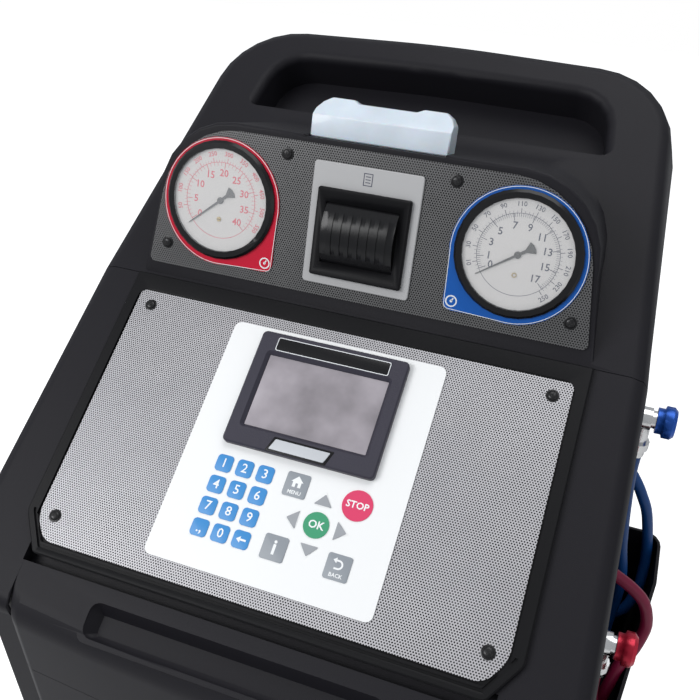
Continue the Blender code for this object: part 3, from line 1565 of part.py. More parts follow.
def rear_axle():
    profile = [
        (0.0, AXLE_HALF + CAP_THICK),
        (CAP_RADIUS, AXLE_HALF + CAP_THICK),
        (CAP_RADIUS, AXLE_HALF),
        (AXLE_RADIUS, AXLE_HALF),
        (AXLE_RADIUS, -AXLE_HALF),
        (CAP_RADIUS, -AXLE_HALF),
        (CAP_RADIUS, -AXLE_HALF - CAP_THICK),
        (0.0, -AXLE_HALF - CAP_THICK),
    ]
    bar = turned(profile, SMALL_STEPS)
    return solid("rear_axle", bar, steel_finish(), None, AXLE_PLACE, ACROSS)


def caster_mount(side_name, place, tray):
    """Plate and bearing race under the base tray; returns how low the race reaches."""
    plate_low = BASE_BOTTOM - CASTER_PLATE_THICK
    half = CASTER_PLATE / 2
    outline = rounded(rectangle(half, -half, half, CASTER_PLATE_ROUND), BASE_STEPS)
    plate = prism(bmesh.new(), outline, plate_low, BASE_BOTTOM + PANEL_WALL / 2)
    combine(tray, tool(f"{side_name}_caster_plate", plate, None, place), "UNION")
    race_low = plate_low - CASTER_RACE
    race_outline = disc(CASTER_RACE_RADIUS, SMALL_STEPS)
    race = prism(bmesh.new(), race_outline, race_low, plate_low + CASTER_PLATE_THICK / 2)
    combine(tray, tool(f"{side_name}_race", race, None, place), "UNION")
    return race_low


def caster(side_name, side, tray):
    """Swivelling front wheel: mount on the base tray, fork, and wheel on its pin."""
    place = (side * CASTER_X, -CASTER_Y, 0.0)
    crown = caster_mount(side_name, place, tray) - RUNNING
    crown_low = crown - FORK_SHEET
    half = FORK_WIDTH / 2
    fork_body = block((-half, -CROWN_FRONT, crown_low), (half, CHEEK_BACK, crown))
    fork = solid(f"{side_name}_caster_fork", fork_body, steel_finish(), None, place)
    foot = CASTER_RADIUS - CHEEK_FOOT
    cheek_corners = [
        (-CHEEK_NECK, crown - FORK_SHEET / 2, 0.0),
        (CASTER_TRAIL - CHEEK_FOOT, foot, CHEEK_ROUND),
        (CASTER_TRAIL + CHEEK_FOOT, foot, CHEEK_ROUND),
        (CHEEK_BACK, crown - FORK_SHEET / 2, 0.0),
    ]
    cheek = rounded(cheek_corners, BASE_STEPS)
    for name, x in (("left", -half), ("right", half - FORK_SHEET)):
        faces = (x, x + FORK_SHEET)
        body = loft(bmesh.new(), [[Vector((at, p.x, p.y)) for p in cheek] for at in faces])
        combine(fork, tool(f"{side_name}_{name}_cheek", body, None, place), "UNION")
    pin_half = half + FORK_SHEET / 2
    pin = prism(bmesh.new(), disc(CASTER_PIN, FINE_STEPS), -pin_half, pin_half)
    pin_place = (place[0], place[1] + CASTER_TRAIL, CASTER_RADIUS)
    combine(fork, tool(f"{side_name}_pin", pin, None, pin_place, ACROSS), "UNION")
    wide = CASTER_WIDTH / 2
    profile = [
        (CASTER_PIN + RUNNING, wide),
        (CASTER_RADIUS - CASTER_SHOULDER, wide),
        (CASTER_RADIUS, wide - CASTER_SHOULDER),
        (CASTER_RADIUS, -wide + CASTER_SHOULDER),
        (CASTER_RADIUS - CASTER_SHOULDER, -wide),
        (CASTER_PIN + RUNNING, -wide),
    ]
    wheel_body = turned(profile, CASTER_STEPS)
    solid(f"{side_name}_caster_wheel", wheel_body, rubber_finish(), None, pin_place, ACROSS)


# Hose side


def hose_bin():
    """Open-topped bin on the right flank, its back following the tapered cabinet."""
    rear = BIN_REAR
    front = -BIN_FRONT
    corners = [
        (body_half(front) + GAP, front, 0.0),
        (BIN_REACH_FRONT, front, BIN_FRONT_ROUND),
        (BIN_REACH, BIN_KINK, 0.0),
        (BIN_REACH, rear, BIN_ROUND),
        (body_half(rear) + GAP, rear, 0.0),
    ]
    body = prism(bmesh.new(), rounded(corners), BIN_FLOOR, BIN_RIM)
    side_bin = solid("hose_bin", body, casing_finish())
    inner = rounded(inset(corners, BIN_WALL))
    space = prism(bmesh.new(), inner, BIN_FLOOR + BIN_WALL, BIN_RIM + CUT_PAST)
    combine(side_bin, tool("bin_space", space))
    return side_bin


def fluted(radius, depth):
    """Round outline with shallow flutes."""
    outline = []
    for index, point in enumerate(disc(1.0, 2 * KNOB_FLUTES)):
        outline.append(point * (radius - depth * (index % 2)))
    return outline


def flank_wall(y, radius):
    """Where a fitting of this radius stands on the tapered side panel."""
    return body_half(y - radius) + GAP


def port_place(place):
    """Axis of a coupler's downward port."""
    y, z = place
    return flank_wall(y, COUPLER_FLANGE_RADIUS) + PORT_REACH, y, z


def coupler(prefix, place, knob_material):
    """Parked service coupler: body on its stub, port pointing down, hose nut and hand wheel."""
    y, z = place
    wall = flank_wall(y, COUPLER_FLANGE_RADIUS)
    shoulder = wall + COUPLER_LENGTH
    profile = [
        (0.0, shoulder),
        (COUPLER_BARREL, shoulder),
        (COUPLER_BARREL, shoulder - COUPLER_STEP),
        (COUPLER_RADIUS, shoulder - COUPLER_STEP),
        (COUPLER_RADIUS, wall + COUPLER_FLANGE),
        (COUPLER_FLANGE_RADIUS, wall + COUPLER_FLANGE),
        (COUPLER_FLANGE_RADIUS, wall),
        (0.0, wall),
    ]
    barrel = turned(profile, SMALL_STEPS)
    body = solid(f"{prefix}_coupler", barrel, steel_finish(), None, (0.0, y, z), ACROSS)
    port_x = port_place(place)[0]
    port = prism(bmesh.new(), disc(PORT_RADIUS, FINE_STEPS), -PORT_DROP, 0.0)
    combine(body, tool(f"{prefix}_port", port, None, (port_x, y, z)), "UNION")
    nut_profile = [
        (0.0, 0.0),
        (NUT_WIDE, 0.0),
        (NUT_WIDE, -FERRULE_LENGTH / 2),
        (NUT_NARROW, -FERRULE_LENGTH / 2 - NUT_STEP),
        (NUT_NARROW, -FERRULE_LENGTH),
        (0.0, -FERRULE_LENGTH),
    ]
    nut_place = (port_x, y, z - PORT_DROP + NUT_OVERLAP)
    nut = tool(f"{prefix}_hose_nut", turned(nut_profile, FINE_STEPS), None, nut_place)
    combine(body, nut, "UNION")
    start = shoulder + GAP
    end = start + KNOB_NECK + KNOB_LENGTH
    knob_sections = [
        level(fluted(KNOB_NECK_RADIUS, 0.0), start),
        level(fluted(KNOB_NECK_RADIUS, 0.0), start + KNOB_NECK - KNOB_STEP),
        level(fluted(KNOB_RADIUS, KNOB_FLUTE_DEPTH), start + KNOB_NECK),
        level(fluted(KNOB_RADIUS, KNOB_FLUTE_DEPTH), end - KNOB_EDGE),
        level(fluted(KNOB_RADIUS - KNOB_EDGE, 0.0), end),
    ]
    knob_body = loft(bmesh.new(), knob_sections)
    solid(f"{prefix}_coupler_knob", knob_body, knob_material, None, (0.0, y, z), ACROSS)
    return body


def outlet(prefix, place):
    """Hose outlet on the flank: nut and collar."""
    y, z = place
    wall = flank_wall(y, OUTLET_NUT_RADIUS)
    profile = [
        (0.0, wall + OUTLET_LENGTH),
        (OUTLET_RADIUS, wall + OUTLET_LENGTH),
        (OUTLET_RADIUS, wall + OUTLET_NUT),
        (OUTLET_NUT_RADIUS, wall + OUTLET_NUT),
        (OUTLET_NUT_RADIUS, wall),
        (0.0, wall),
    ]
    fitting = turned(profile, FINE_STEPS)
    return solid(f"{prefix}_hose_outlet", fitting, brass_finish(), None, (0, y, z), ACROSS)


def smooth_curve(points, step=HOSE_POINT_STEP):
    """Points at an even step along a centripetal curve through the route's own points."""
    anchors = [Vector(point) for point in points]
    first = anchors[0] * 2 - anchors[1]
    last = anchors[-1] * 2 - anchors[-2]
    padded = [first] + anchors + [last]
    run = []
    for a, b, c, d in zip(padded, padded[1:], padded[2:], padded[3:]):
        t1 = (b - a).length ** 0.5
        t2 = t1 + (c - b).length ** 0.5
        t3 = t2 + (d - c).length ** 0.5
        count = max(2, round((c - b).length / step))
        for index in range(count):
            t = t1 + (t2 - t1) * index / count
            p = a.lerp(b, t / t1)
            q = b.lerp(c, (t - t1) / (t2 - t1))
            r = c.lerp(d, (t - t2) / (t3 - t2))
            s = p.lerp(q, t / t2)
            u = q.lerp(r, (t - t1) / (t3 - t1))
            run.append(s.lerp(u, (t - t1) / (t2 - t1)))
    run.append(anchors[-1])
    return run


def hose_tube(name, points, material):
    curve = bpy.data.curves.new(name, "CURVE")
    curve.dimensions = "3D"
    curve.bevel_depth = HOSE_RADIUS
    curve.bevel_resolution = 2
    curve.use_fill_caps = True
    spline = curve.splines.new("POLY")
    run = smooth_curve(points)
    spline.points.add(len(run) - 1)
    for target, point in zip(spline.points, run):
        target.co = (*point, 1.0)
    return add_object(name, curve, material)


def coil_ring(name, centre_y, material):
    """Outer shape of the coiled hose, standing on edge in the bin."""
    half = COIL_ACROSS * COIL_PITCH / 2
    profile = [
        (COIL_INNER, half),
        (COIL_OUTER, half),
        (COIL_OUTER, -half),
        (COIL_INNER, -half),
    ]
    place = (COIL_SIDE + half, centre_y, COIL_Z)
    return solid(name, turned(profile, CASTER_STEPS), material, None, place, ACROSS)


def hose(name, start, route, material):
    """One visible run of a hose: from its fitting through the route's points (x, y, z)."""
    return hose_tube(name, [start, *route], material)


def hoses():
    """Each hose: outlet, drop into the bin, coil, and the rise to its parked coupler."""
    blue, red = blue_finish(), red_finish()
    coil_ring("blue_hose_coil", BLUE_COIL_Y, blue)
    coil_ring("red_hose_coil", RED_COIL_Y, red)
    nut_end = PORT_DROP + FERRULE_LENGTH + 2 * GAP - NUT_OVERLAP
    runs = (
        ("blue", BLUE_COUPLER, BLUE_RISE, BLUE_OUTLET, BLUE_DROP, blue),
        ("red", RED_COUPLER, RED_RISE, RED_OUTLET, RED_DROP, red),
    )
    for prefix, coupler_place, rise, outlet_place, drop, material in runs:
        x, y, z = port_place(coupler_place)
        hose(f"{prefix}_hose_rise", (x, y, z - nut_end), rise, material)
        y, z = outlet_place
        mouth = flank_wall(y, OUTLET_NUT_RADIUS) + OUTLET_LENGTH + GAP
        hose(f"{prefix}_hose_drop", (mouth, y, z), drop, material)


# Inside


def tank_and_scale():
    pan = BASE_BOTTOM + PANEL_WALL + GAP
    cell = SCALE_CELL_HALF
    low = pan + SCALE_CELL_HEIGHT
    high = low + SCALE_THICK
    body = block((-SCALE_HALF, -SCALE_HALF, low), (SCALE_HALF, SCALE_HALF, high))
    place = (0.0, TANK_Y, 0.0)
    platform = solid("tank_scale", body, steel_finish(), None, place)
    load_cell = block((-cell, -cell, pan), (cell, cell, low + SCALE_THICK / 2))
    combine(platform, tool("load_cell", load_cell, None, place), "UNION")
    foot = high + GAP
    top = foot + TANK_HEIGHT
    profile = [
        (0.0, top + TANK_NECK_HEIGHT),
        (TANK_NECK, top + TANK_NECK_HEIGHT),
        (TANK_NECK, top),
        (TANK_CROWN, top - TANK_CROWN_DROP),
        (TANK_RADIUS, top - TANK_SHOULDER),
        (TANK_RADIUS, foot + TANK_KNUCKLE),
        (TANK_FOOT, foot + TANK_FOOT_HEIGHT),
        (TANK_FOOT, foot),
        (0.0, foot),
    ]
    tank = turned(profile, CASTER_STEPS)
    solid("refrigerant_tank", tank, tank_finish(), None, place)


def condenser():
    """Finned core on its foot behind the axle, with the fan's shroud in front."""
    front = CONDENSER_Y
    back = front + CONDENSER_THICK
    low = CONDENSER_LOW
    high = low + CONDENSER_HEIGHT
    body = block((-CONDENSER_HALF, front, low), (CONDENSER_HALF, back, high))
    core = solid("condenser", body, fin_finish())
    foot_front = AXLE_PLACE[1] + AXLE_RADIUS + AXLE_CLEARANCE
    foot_low = BASE_BOTTOM + PANEL_WALL + GAP
    feet = block(
        (-CONDENSER_HALF, foot_front, foot_low),
        (CONDENSER_HALF, back, low + CONDENSER_RIM / 2),
    )
    combine(core, tool("condenser_foot", feet), "UNION")
    slots = bmesh.new()
    row_half = CONDENSER_HALF - CONDENSER_RIM
    pitch = (CONDENSER_HEIGHT - 2 * CONDENSER_RIM) / CONDENSER_ROWS
    for index in range(CONDENSER_ROWS):
        z = low + CONDENSER_RIM + index * pitch
        row = (-row_half, back - CONDENSER_ROW_DEPTH, z)
        box(slots, row, (row_half, back + CUT_PAST, z + pitch / 2))
    combine(core, tool("condenser_rows", slots))
    half = SHROUD_HALF
    plate = block(
        (-half, front - SHROUD_THICK, FAN_Z - half),
        (half, front + PANEL_WALL, FAN_Z + half),
    )
    combine(core, tool("fan_shroud", plate), "UNION")
    hole = prism(bmesh.new(), disc(FAN_RADIUS + FAN_CLEARANCE, RING_STEPS), 0.0, SHROUD_HALF)
    combine(core, tool("fan_hole", hole, None, (0, front, FAN_Z), BACKWARDS))
    return core


def cooling_fan():
    place = (0.0, CONDENSER_Y - RUNNING, FAN_Z)
    profile = [(0.0, FAN_HUB_DEPTH), (FAN_HUB, FAN_HUB_DEPTH), (FAN_HUB, 0.0), (0.0, 0.0)]
    hub = turned(profile, SMALL_STEPS)
    fan = solid("cooling_fan", hub, gloss_finish(), None, place, BACKWARDS)
    blades = bmesh.new()
    for index in range(FAN_BLADES):
        spin = Matrix.Rotation(math.tau * index / FAN_BLADES, 3, "Z")
        sections = []
        for radius in (FAN_HUB - BLADE_SINK, (FAN_HUB + FAN_RADIUS) / 2, FAN_RADIUS):
            chord = BLADE_ROOT + radius * BLADE_SPREAD
            section = [
                (radius, -chord, BLADE_LOW),
                (radius, chord, BLADE_HIGH),
                (radius, chord, BLADE_HIGH + BLADE_SHEET),
                (radius, -chord, BLADE_LOW + BLADE_SHEET),
            ]
            sections.append([spin @ Vector(point) for point in section])
        loft(blades, sections)
    combine(fan, tool("fan_blades", blades, None, place, BACKWARDS), "UNION")
    return fan


def compressor():
    """Hermetic compressor can on its foot plate."""
    floor = SHELF_HEIGHT + GAP
    top = floor + COMPRESSOR_HEIGHT
    dome = [
        (0.0, top),
        (COMPRESSOR_CROWN, top - COMPRESSOR_CROWN_DROP),
        (COMPRESSOR_RADIUS, top - COMPRESSOR_SHOULDER),
        (COMPRESSOR_RADIUS, floor + COMPRESSOR_KNUCKLE),
        (COMPRESSOR_NECK, floor + COMPRESSOR_PLATE),
        (COMPRESSOR_FOOT, floor + COMPRESSOR_PLATE),
        (COMPRESSOR_FOOT, floor),
        (0.0, floor),
    ]
    can = turned(dome, CASTER_STEPS)
    return solid("compressor", can, gloss_finish(), None, (COMPRESSOR_X, COMPRESSOR_Y, 0.0))


def vacuum_pump():
    """Motor drum with the pump's oil case in front, on one foot."""
    floor = SHELF_HEIGHT + GAP
    axis_z = floor + PUMP_FOOT + PUMP_RADIUS
    half = PUMP_LENGTH / 2
    profile = [
        (0.0, half),
        (PUMP_RADIUS - PUMP_EDGE, half),
        (PUMP_RADIUS, half - PUMP_EDGE),
        (PUMP_RADIUS, -half),
        (0.0, -half),
    ]
    motor = turned(profile, ROLL_STEPS)
    place = (PUMP_X, PUMP_Y, axis_z)
    pump = solid("vacuum_pump", motor, fin_finish(), None, place, BACKWARDS)
    case_back = PUMP_Y - half + PUMP_FOOT
    head = block(
        (PUMP_X - PUMP_CASE_HALF, case_back - PUMP_CASE_DEPTH, floor + PUMP_FOOT / 2),
        (PUMP_X + PUMP_CASE_HALF, case_back, axis_z + PUMP_CASE_RISE),
    )
    combine(pump, tool("pump_head", head), "UNION")
    foot = block(
        (PUMP_X - PUMP_FOOT_HALF, case_back - PUMP_CASE_DEPTH + PUMP_EDGE, floor),
        (PUMP_X + PUMP_FOOT_HALF, PUMP_Y + half - PUMP_EDGE, floor + 2 * PUMP_FOOT),
    )
    combine(pump, tool("pump_foot", foot), "UNION")
    return pump


def filter_drier():
    floor = SHELF_HEIGHT + GAP
    top = floor + DRIER_HEIGHT
    profile = [
        (0.0, top),
        (DRIER_PORT, top),
        (DRIER_PORT, top - DRIER_PORT_HEIGHT),
        (DRIER_RADIUS, top - 2 * DRIER_PORT_HEIGHT),
        (DRIER_RADIUS, floor + DRIER_KNUCKLE),
        (DRIER_RADIUS - DRIER_KNUCKLE, floor),
        (0.0, floor),
    ]
    can = turned(profile, ROLL_STEPS)
    return solid("filter_drier", can, copper_finish(), None, (DRIER_X, DRIER_Y, 0.0))


def control_board(console_plane):
    """Circuit board on four posts under the console plate."""
    centre_y = (PLATE_TOP + PLATE_BOTTOM) / 2
    top = -PLATE_THICK - BOARD_DROP
    body = block(
        (-BOARD_HALF_X, centre_y - BOARD_HALF_Y, top - BOARD_THICK),
        (BOARD_HALF_X, centre_y + BOARD_HALF_Y, top),
    )
    board = solid("control_board", body, board_finish(), console_plane)
    parts = bmesh.new()
    for x in (-1, 1):
        for y in (-1, 1):
            post_x = x * (BOARD_HALF_X - 2 * BOARD_POST)
            post_y = centre_y + y * (BOARD_HALF_Y - 2 * BOARD_POST)
            outline = [Vector((post_x, post_y)) + point for point in disc(BOARD_POST, 8)]
            prism(parts, outline, top - BOARD_THICK / 2, -PLATE_THICK - GAP)
    for x, y, half, tall in BOARD_CHIPS:
        low = (x - half, centre_y + y - half / 2, top - BOARD_THICK / 2)
        box(parts, low, (x + half, centre_y + y + half / 2, top + tall))
    combine(board, tool("board_parts", parts, console_plane), "UNION")
    return board


def manifold(gauge_plane):
    """Drilled block that joins the two gauge stems, with a row of solenoid valves."""
    face = -CASE_DEPTH - STEM_LENGTH - GAP
    back = face - MANIFOLD_THICK
    half = MANIFOLD_HEIGHT / 2
    body = block((-MANIFOLD_HALF, GAUGE_UP - half, back), (MANIFOLD_HALF, GAUGE_UP + half, face))
    drilled = solid("valve_manifold", body, fin_finish(), gauge_plane)
    valves = bmesh.new()
    for index in range(VALVES):
        x = (index - (VALVES - 1) / 2) * VALVE_PITCH
        outline = [Vector((x, GAUGE_UP)) + point for point in disc(VALVE_RADIUS, FINE_STEPS)]
        prism(valves, outline, back - VALVE_LENGTH, face - MANIFOLD_THICK / 2)
    combine(drilled, tool("manifold_valves", valves, gauge_plane), "UNION")
    return drilled


def mains_inlet():
    """Inlet module on the back: recessed socket beside a rocker switch."""
    face = BODY_REAR + GAP + REAR_COVER_DEPTH + GAP
    place = (INLET_X, face, INLET_Z)
    wide = INLET_HALF_X + INLET_FLANGE
    tall = INLET_HALF_Z + INLET_FLANGE
    body = block((-wide, 0.0, -tall), (wide, INLET_FLANGE, tall))
    inlet = solid("mains_inlet", body, gloss_finish(), None, place)
    can = block(
        (-INLET_HALF_X, -INLET_DEPTH, -INLET_HALF_Z),
        (INLET_HALF_X, INLET_FLANGE / 2, INLET_HALF_Z),
    )
    combine(inlet, tool("inlet_can", can, None, place), "UNION")
    socket = block(
        (SOCKET_X - SOCKET_HALF_X, -SOCKET_DEPTH, -SOCKET_HALF_Z),
        (SOCKET_X + SOCKET_HALF_X, CUT_PAST, SOCKET_HALF_Z),
    )
    combine(inlet, tool("inlet_socket", socket, None, place))
    pins = bmesh.new()
    for x, z in SOCKET_PINS:
        low = (SOCKET_X + x - PIN_HALF, -SOCKET_DEPTH - PIN_HALF, z - 2 * PIN_HALF)
        box(pins, low, (SOCKET_X + x + PIN_HALF, -PIN_SINK, z + 2 * PIN_HALF))
    combine(inlet, tool("inlet_pins", pins, None, place), "UNION")
    well_half = ROCKER_HALF_X + RUNNING
    well_tall = ROCKER_HALF_Z + ROCKER_CLEARANCE
    well = block(
        (ROCKER_X - well_half, -ROCKER_WELL, -well_tall),
        (ROCKER_X + well_half, CUT_PAST, well_tall),
    )
    combine(inlet, tool("rocker_well", well, None, place))
    rise = ROCKER_HALF_Z * math.tan(ROCKER_TILT)
    low = INLET_FLANGE - ROCKER_THICK
    profile = [
        (-ROCKER_HALF_Z, low + rise),
        (0.0, low - ROCKER_KEEL),
        (ROCKER_HALF_Z, low + rise),
        (ROCKER_HALF_Z, INLET_FLANGE + rise),
        (0.0, INLET_FLANGE),
        (-ROCKER_HALF_Z, INLET_FLANGE + rise),
    ]
    sections = [
        [Vector((x, y, z)) for z, y in profile] for x in (-ROCKER_HALF_X, ROCKER_HALF_X)
    ]
    pivot = (INLET_X + ROCKER_X, face, INLET_Z)
    rocker = loft(bmesh.new(), sections)
    solid("power_switch", rocker, gloss_finish(), None, pivot, (-ROCKER_TILT, 0, 0))


def main():
    clear_scene()
    seam = (0.0, SEAM_Y, SEAM_HEIGHT)
    seam_datum = datum("seam_datum", seam)
    console_plane = datum("console_plane", seam, CONSOLE_TILT)
    gauge_seam = [along + shift for along, shift in zip(seam, GAUGE_SEAT)]
    gauge_plane = datum("gauge_plane", gauge_seam, GAUGE_TILT)
    upper_casing(console_plane, gauge_plane)
    front_casing(console_plane, seam_datum)
    console_frame(console_plane)
    console_plate(console_plane)
    keypad_membrane(console_plane)
    display(console_plane)
    gauge_plate(gauge_plane)
    gauges(gauge_plane)
    printer(gauge_plane)
    printer_door(gauge_plane)
    status_light(gauge_plane)
    side_panel("left_side_panel", -1, console_plane)
    side_panel("right_side_panel", 1, console_plane)
    tray = base_tray()
    lower_front_cover()
    rear_cover()
    inner_shelf()
    rear_wheel("left_rear_wheel", -1)
    rear_wheel("right_rear_wheel", 1)
    rear_axle()
    caster("left", -1, tray)
    caster("right", 1, tray)
    hose_bin()
    coupler("blue", BLUE_COUPLER, blue_finish())
    coupler("red", RED_COUPLER, red_finish())
    outlet("blue", BLUE_OUTLET)
    outlet("red", RED_OUTLET)
    hoses()
    tank_and_scale()
    condenser()
    cooling_fan()
    compressor()
    vacuum_pump()
    filter_drier()
    control_board(console_plane)
    manifold(gauge_plane)
    mains_inlet()


main()
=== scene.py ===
import json
import math

import bmesh
import bpy
from mathutils import Matrix, Vector

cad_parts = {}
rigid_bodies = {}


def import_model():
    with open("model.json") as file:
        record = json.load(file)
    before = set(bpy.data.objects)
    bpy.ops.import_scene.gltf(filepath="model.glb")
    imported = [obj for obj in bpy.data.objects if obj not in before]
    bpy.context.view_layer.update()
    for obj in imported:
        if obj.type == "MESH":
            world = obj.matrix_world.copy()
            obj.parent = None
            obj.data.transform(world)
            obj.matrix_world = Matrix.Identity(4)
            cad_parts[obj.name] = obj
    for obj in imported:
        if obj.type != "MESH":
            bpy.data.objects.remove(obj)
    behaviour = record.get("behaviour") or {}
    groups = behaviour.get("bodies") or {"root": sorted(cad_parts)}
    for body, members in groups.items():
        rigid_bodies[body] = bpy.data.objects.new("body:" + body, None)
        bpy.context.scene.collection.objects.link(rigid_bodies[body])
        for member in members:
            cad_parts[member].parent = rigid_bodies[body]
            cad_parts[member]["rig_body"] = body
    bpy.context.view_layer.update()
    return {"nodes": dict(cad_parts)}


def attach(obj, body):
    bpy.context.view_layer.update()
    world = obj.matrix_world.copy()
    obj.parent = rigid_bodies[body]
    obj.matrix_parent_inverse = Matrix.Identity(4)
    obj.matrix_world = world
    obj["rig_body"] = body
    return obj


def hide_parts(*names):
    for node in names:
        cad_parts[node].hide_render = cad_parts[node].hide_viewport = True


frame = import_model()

NODES = frame["nodes"]

bl_info = {
    "name": "AC service station",
    "version": (1, 0, 0),
    "blender": (4, 5, 0),
    "location": "3D View > Sidebar > Station",
    "description": "Dresses the packed ac service station and sets up its studio",
    "category": "Object",
}

# Places: the sloping console, the steeper gauge face, and the floor
CONSOLE = Matrix.Translation((0.0, -0.024, 0.900)) @ Matrix.Rotation(math.radians(30), 4, "X")
GAUGE_FACE = Matrix.Translation((0.0, -0.020, 0.8973)) @ Matrix.Rotation(math.radians(70.3), 4, "X")
UPRIGHT = Matrix.Identity(4)
STATION = "station"
WELD = 1e-5
PRINT = 0.00012
SMOOTH_ANGLE = math.radians(38)

# Hose routes: the points of the solids, less those where the wound coil takes over
HOSE_RADIUS = 0.0055
COIL_TURN_RADII = (0.0430, 0.0542, 0.0654)
COIL_OUTSIDE = 0.2615
COIL_INSIDE = 0.2503
COIL_HEIGHT = 0.5194
STRAND = 0.2729
BLUE_DROP = (
    (0.24311, 0.0760, 0.7250), (0.2560, 0.0755, 0.7240), (0.2699, 0.0720, 0.7090),
    (0.2794, 0.0700, 0.6922), (0.2857, 0.0700, 0.6775), (0.2915, 0.0700, 0.6536),
    (0.2958, 0.0690, 0.6290), (0.2980, 0.0620, 0.6080), (0.2970, 0.0500, 0.5860),
    (0.2890, 0.0370, 0.5640),
)
BLUE_RISE = (
    (0.2730, 0.0010, 0.5600), (0.2745, 0.0090, 0.5830), (0.2765, 0.0160, 0.6100),
    (0.2748, 0.0185, 0.6356), (0.2680, 0.0191, 0.6723), (0.2610, 0.0191, 0.7350),
    (0.2585, 0.0191, 0.7700), (0.25855, 0.0191, 0.7887),
)
RED_DROP = (
    (0.24896, -0.0540, 0.7120), (0.2575, -0.0540, 0.7120), (0.2664, -0.0545, 0.7080),
    (0.2803, -0.0552, 0.6995), (0.2929, -0.0562, 0.6870), (0.3002, -0.0582, 0.6620),
    (0.2980, -0.0650, 0.6490), (0.2935, -0.0740, 0.6405), (0.2855, -0.0860, 0.6320),
    (0.2800, -0.0980, 0.6160), (0.2755, -0.1060, 0.5950), (0.2748, -0.1100, 0.5750),
)
RED_RISE = (
    (0.2729, -0.1380, 0.5600), (0.2737, -0.1300, 0.5880), (0.2725, -0.1250, 0.6040),
    (0.2665, -0.1205, 0.6250), (0.2648, -0.1199, 0.6430), (0.26481, -0.1199, 0.6568),
)
# Into the inner turn and out of the last one: x, and then y and z from the coil's centre
WAY_IN_BLUE = ((0.2760, 0.0255, 0.0270),)
WAY_IN_RED = ((STRAND, 0.0270, 0.0256),)
WAY_IN = ((0.2728, 0.0282, 0.0103), (0.2700, 0.0315, 0.0), (0.2650, 0.0343, -0.0125))
WAY_OUT = ((0.2505, -0.0373, -0.0114), (0.2545, -0.0339, 0.0030), (0.2615, -0.0260, 0.0150))
WAY_OUT_BLUE = ((0.2700, -0.0185, 0.0270),)
WAY_OUT_RED = ((0.2700, -0.0150, 0.0280),)
COIL_START = -45
COIL_LAST = 1900
COIL_STEP = 20
BLUE_COIL_Y = 0.0100
RED_COIL_Y = -0.1390

# Camera, as recovered from the photograph, and the light on it
CAMERA_PLACE = (0.2189, -0.6124, 1.3188)
CAMERA_RIGHT = (0.93604, 0.35183, 0.00750)
CAMERA_UP = (-0.21193, 0.54656, 0.81016)
CAMERA_FORWARD = (-0.28094, 0.75993, -0.58616)
ROOM_LIGHT = 0.50
KEY_POWER = 44
TOP_POWER = 21
FILL_POWER = 4
FLOOR_LIFT = 0.62

# Console, in its own plane
CONSOLE_OUTLINE = (
    (-0.1840, -0.2540, 0.008), (0.1840, -0.2540, 0.008), (0.1975, -0.2350, 0.008),
    (0.1975, -0.0160, 0.003), (-0.1975, -0.0160, 0.003), (-0.1975, -0.2350, 0.008),
)
CONSOLE_SCREWS = ((-0.1827, -0.0300), (0.1827, -0.0300), (-0.1825, -0.2327), (0.1825, -0.2327))
MEMBRANE_HALF = 0.0963
MEMBRANE_FOOT = -0.2390
MEMBRANE_TOP = -0.0270
BEZEL_TOP = 0.0074
KEY_START = (-0.0580, -0.1529)
KEY_STEP = 0.0183
KEY_SIDE = 0.0144
KEY_LOW = 0.0013
KEY_HIGH = 0.0017
ICON_SIDE = 0.0200
ICON_KEYS = {"menu": (0.0067, -0.1544), "info": (0.0065, -0.2064), "return": (0.0595, -0.2068)}
OK_KEY = (0.0327, -0.1806)
STOP_KEY = (0.0594, -0.1572)
ARROW_SIDE = 0.0150
ARROW_REACH = 0.0160

# Gauge face, in its own plane
GAUGE_OUTLINE = (
    (-0.2014, 0.0135, 0.006), (0.2014, 0.0135, 0.006), (0.1935, 0.0680, 0.004),
    (0.1830, 0.1418, 0.062), (-0.1830, 0.1418, 0.062), (-0.1935, 0.0680, 0.004),
)
GAUGE_SCREWS = ((-0.0742, 0.1294), (0.0742, 0.1294), (-0.1835, 0.0334), (0.1835, 0.0334))
GAUGE_AT = (0.1327, 0.0800)
RING_RADIUS = 0.0522
SCALE_INNER = 0.0331
SCALE_OUTER = 0.0335
LONG_MARK_INNER = 0.0275
LONG_MARK_OUTER = 0.0372
SHORT_MARK_OUTER = 0.0353
WIDE_MARK = 0.0005
THIN_MARK = 0.0003
FINE_MARK = 0.00025
ADJUSTER_DROP = 0.0165
COVER_LAP = 0.006
SURROUND_HALF = 0.0482
SURROUND_FOOT = 0.0245
SURROUND_TOP = 0.1288
SHEET_PLACES = {"console_sheet": (CONSOLE, "console_plate"), "gauge_sheet": (GAUGE_FACE, "gauge_plate")}
RECEIPT_AT = (0.0004, 0.1189)
REAR_WHEEL = (0.176, 0.125)
RIM_RADIUS = 0.088


# Settings that a user changes


class StationSizes(bpy.types.PropertyGroup):
    hole_pitch: bpy.props.FloatProperty(
        name="Hole pitch", description="Spacing of the holes in the perforated sheet",
        default=0.0022, min=0.0018, unit="LENGTH",
    )
    hole_width: bpy.props.FloatProperty(
        name="Hole width", description="Width of one hole in the perforated sheet",
        default=0.00145, min=0.0008, unit="LENGTH",
    )
    sheet: bpy.props.FloatProperty(
        name="Sheet", description="Thickness of the perforated sheet",
        default=0.0008, min=0.0003, unit="LENGTH",
    )
    screw_radius: bpy.props.FloatProperty(
        name="Screw head", description="Radius of a cross-head screw",
        default=0.0042, min=0.002, unit="LENGTH",
    )
    washer_radius: bpy.props.FloatProperty(
        name="Washer", description="Radius of the washer under a screw",
        default=0.0054, min=0.002, unit="LENGTH",
    )
    grain: bpy.props.FloatProperty(
        name="Grain", description="Depth of the casing's moulded grain",
        default=0.00010, min=0.0, precision=5, unit="LENGTH",
    )


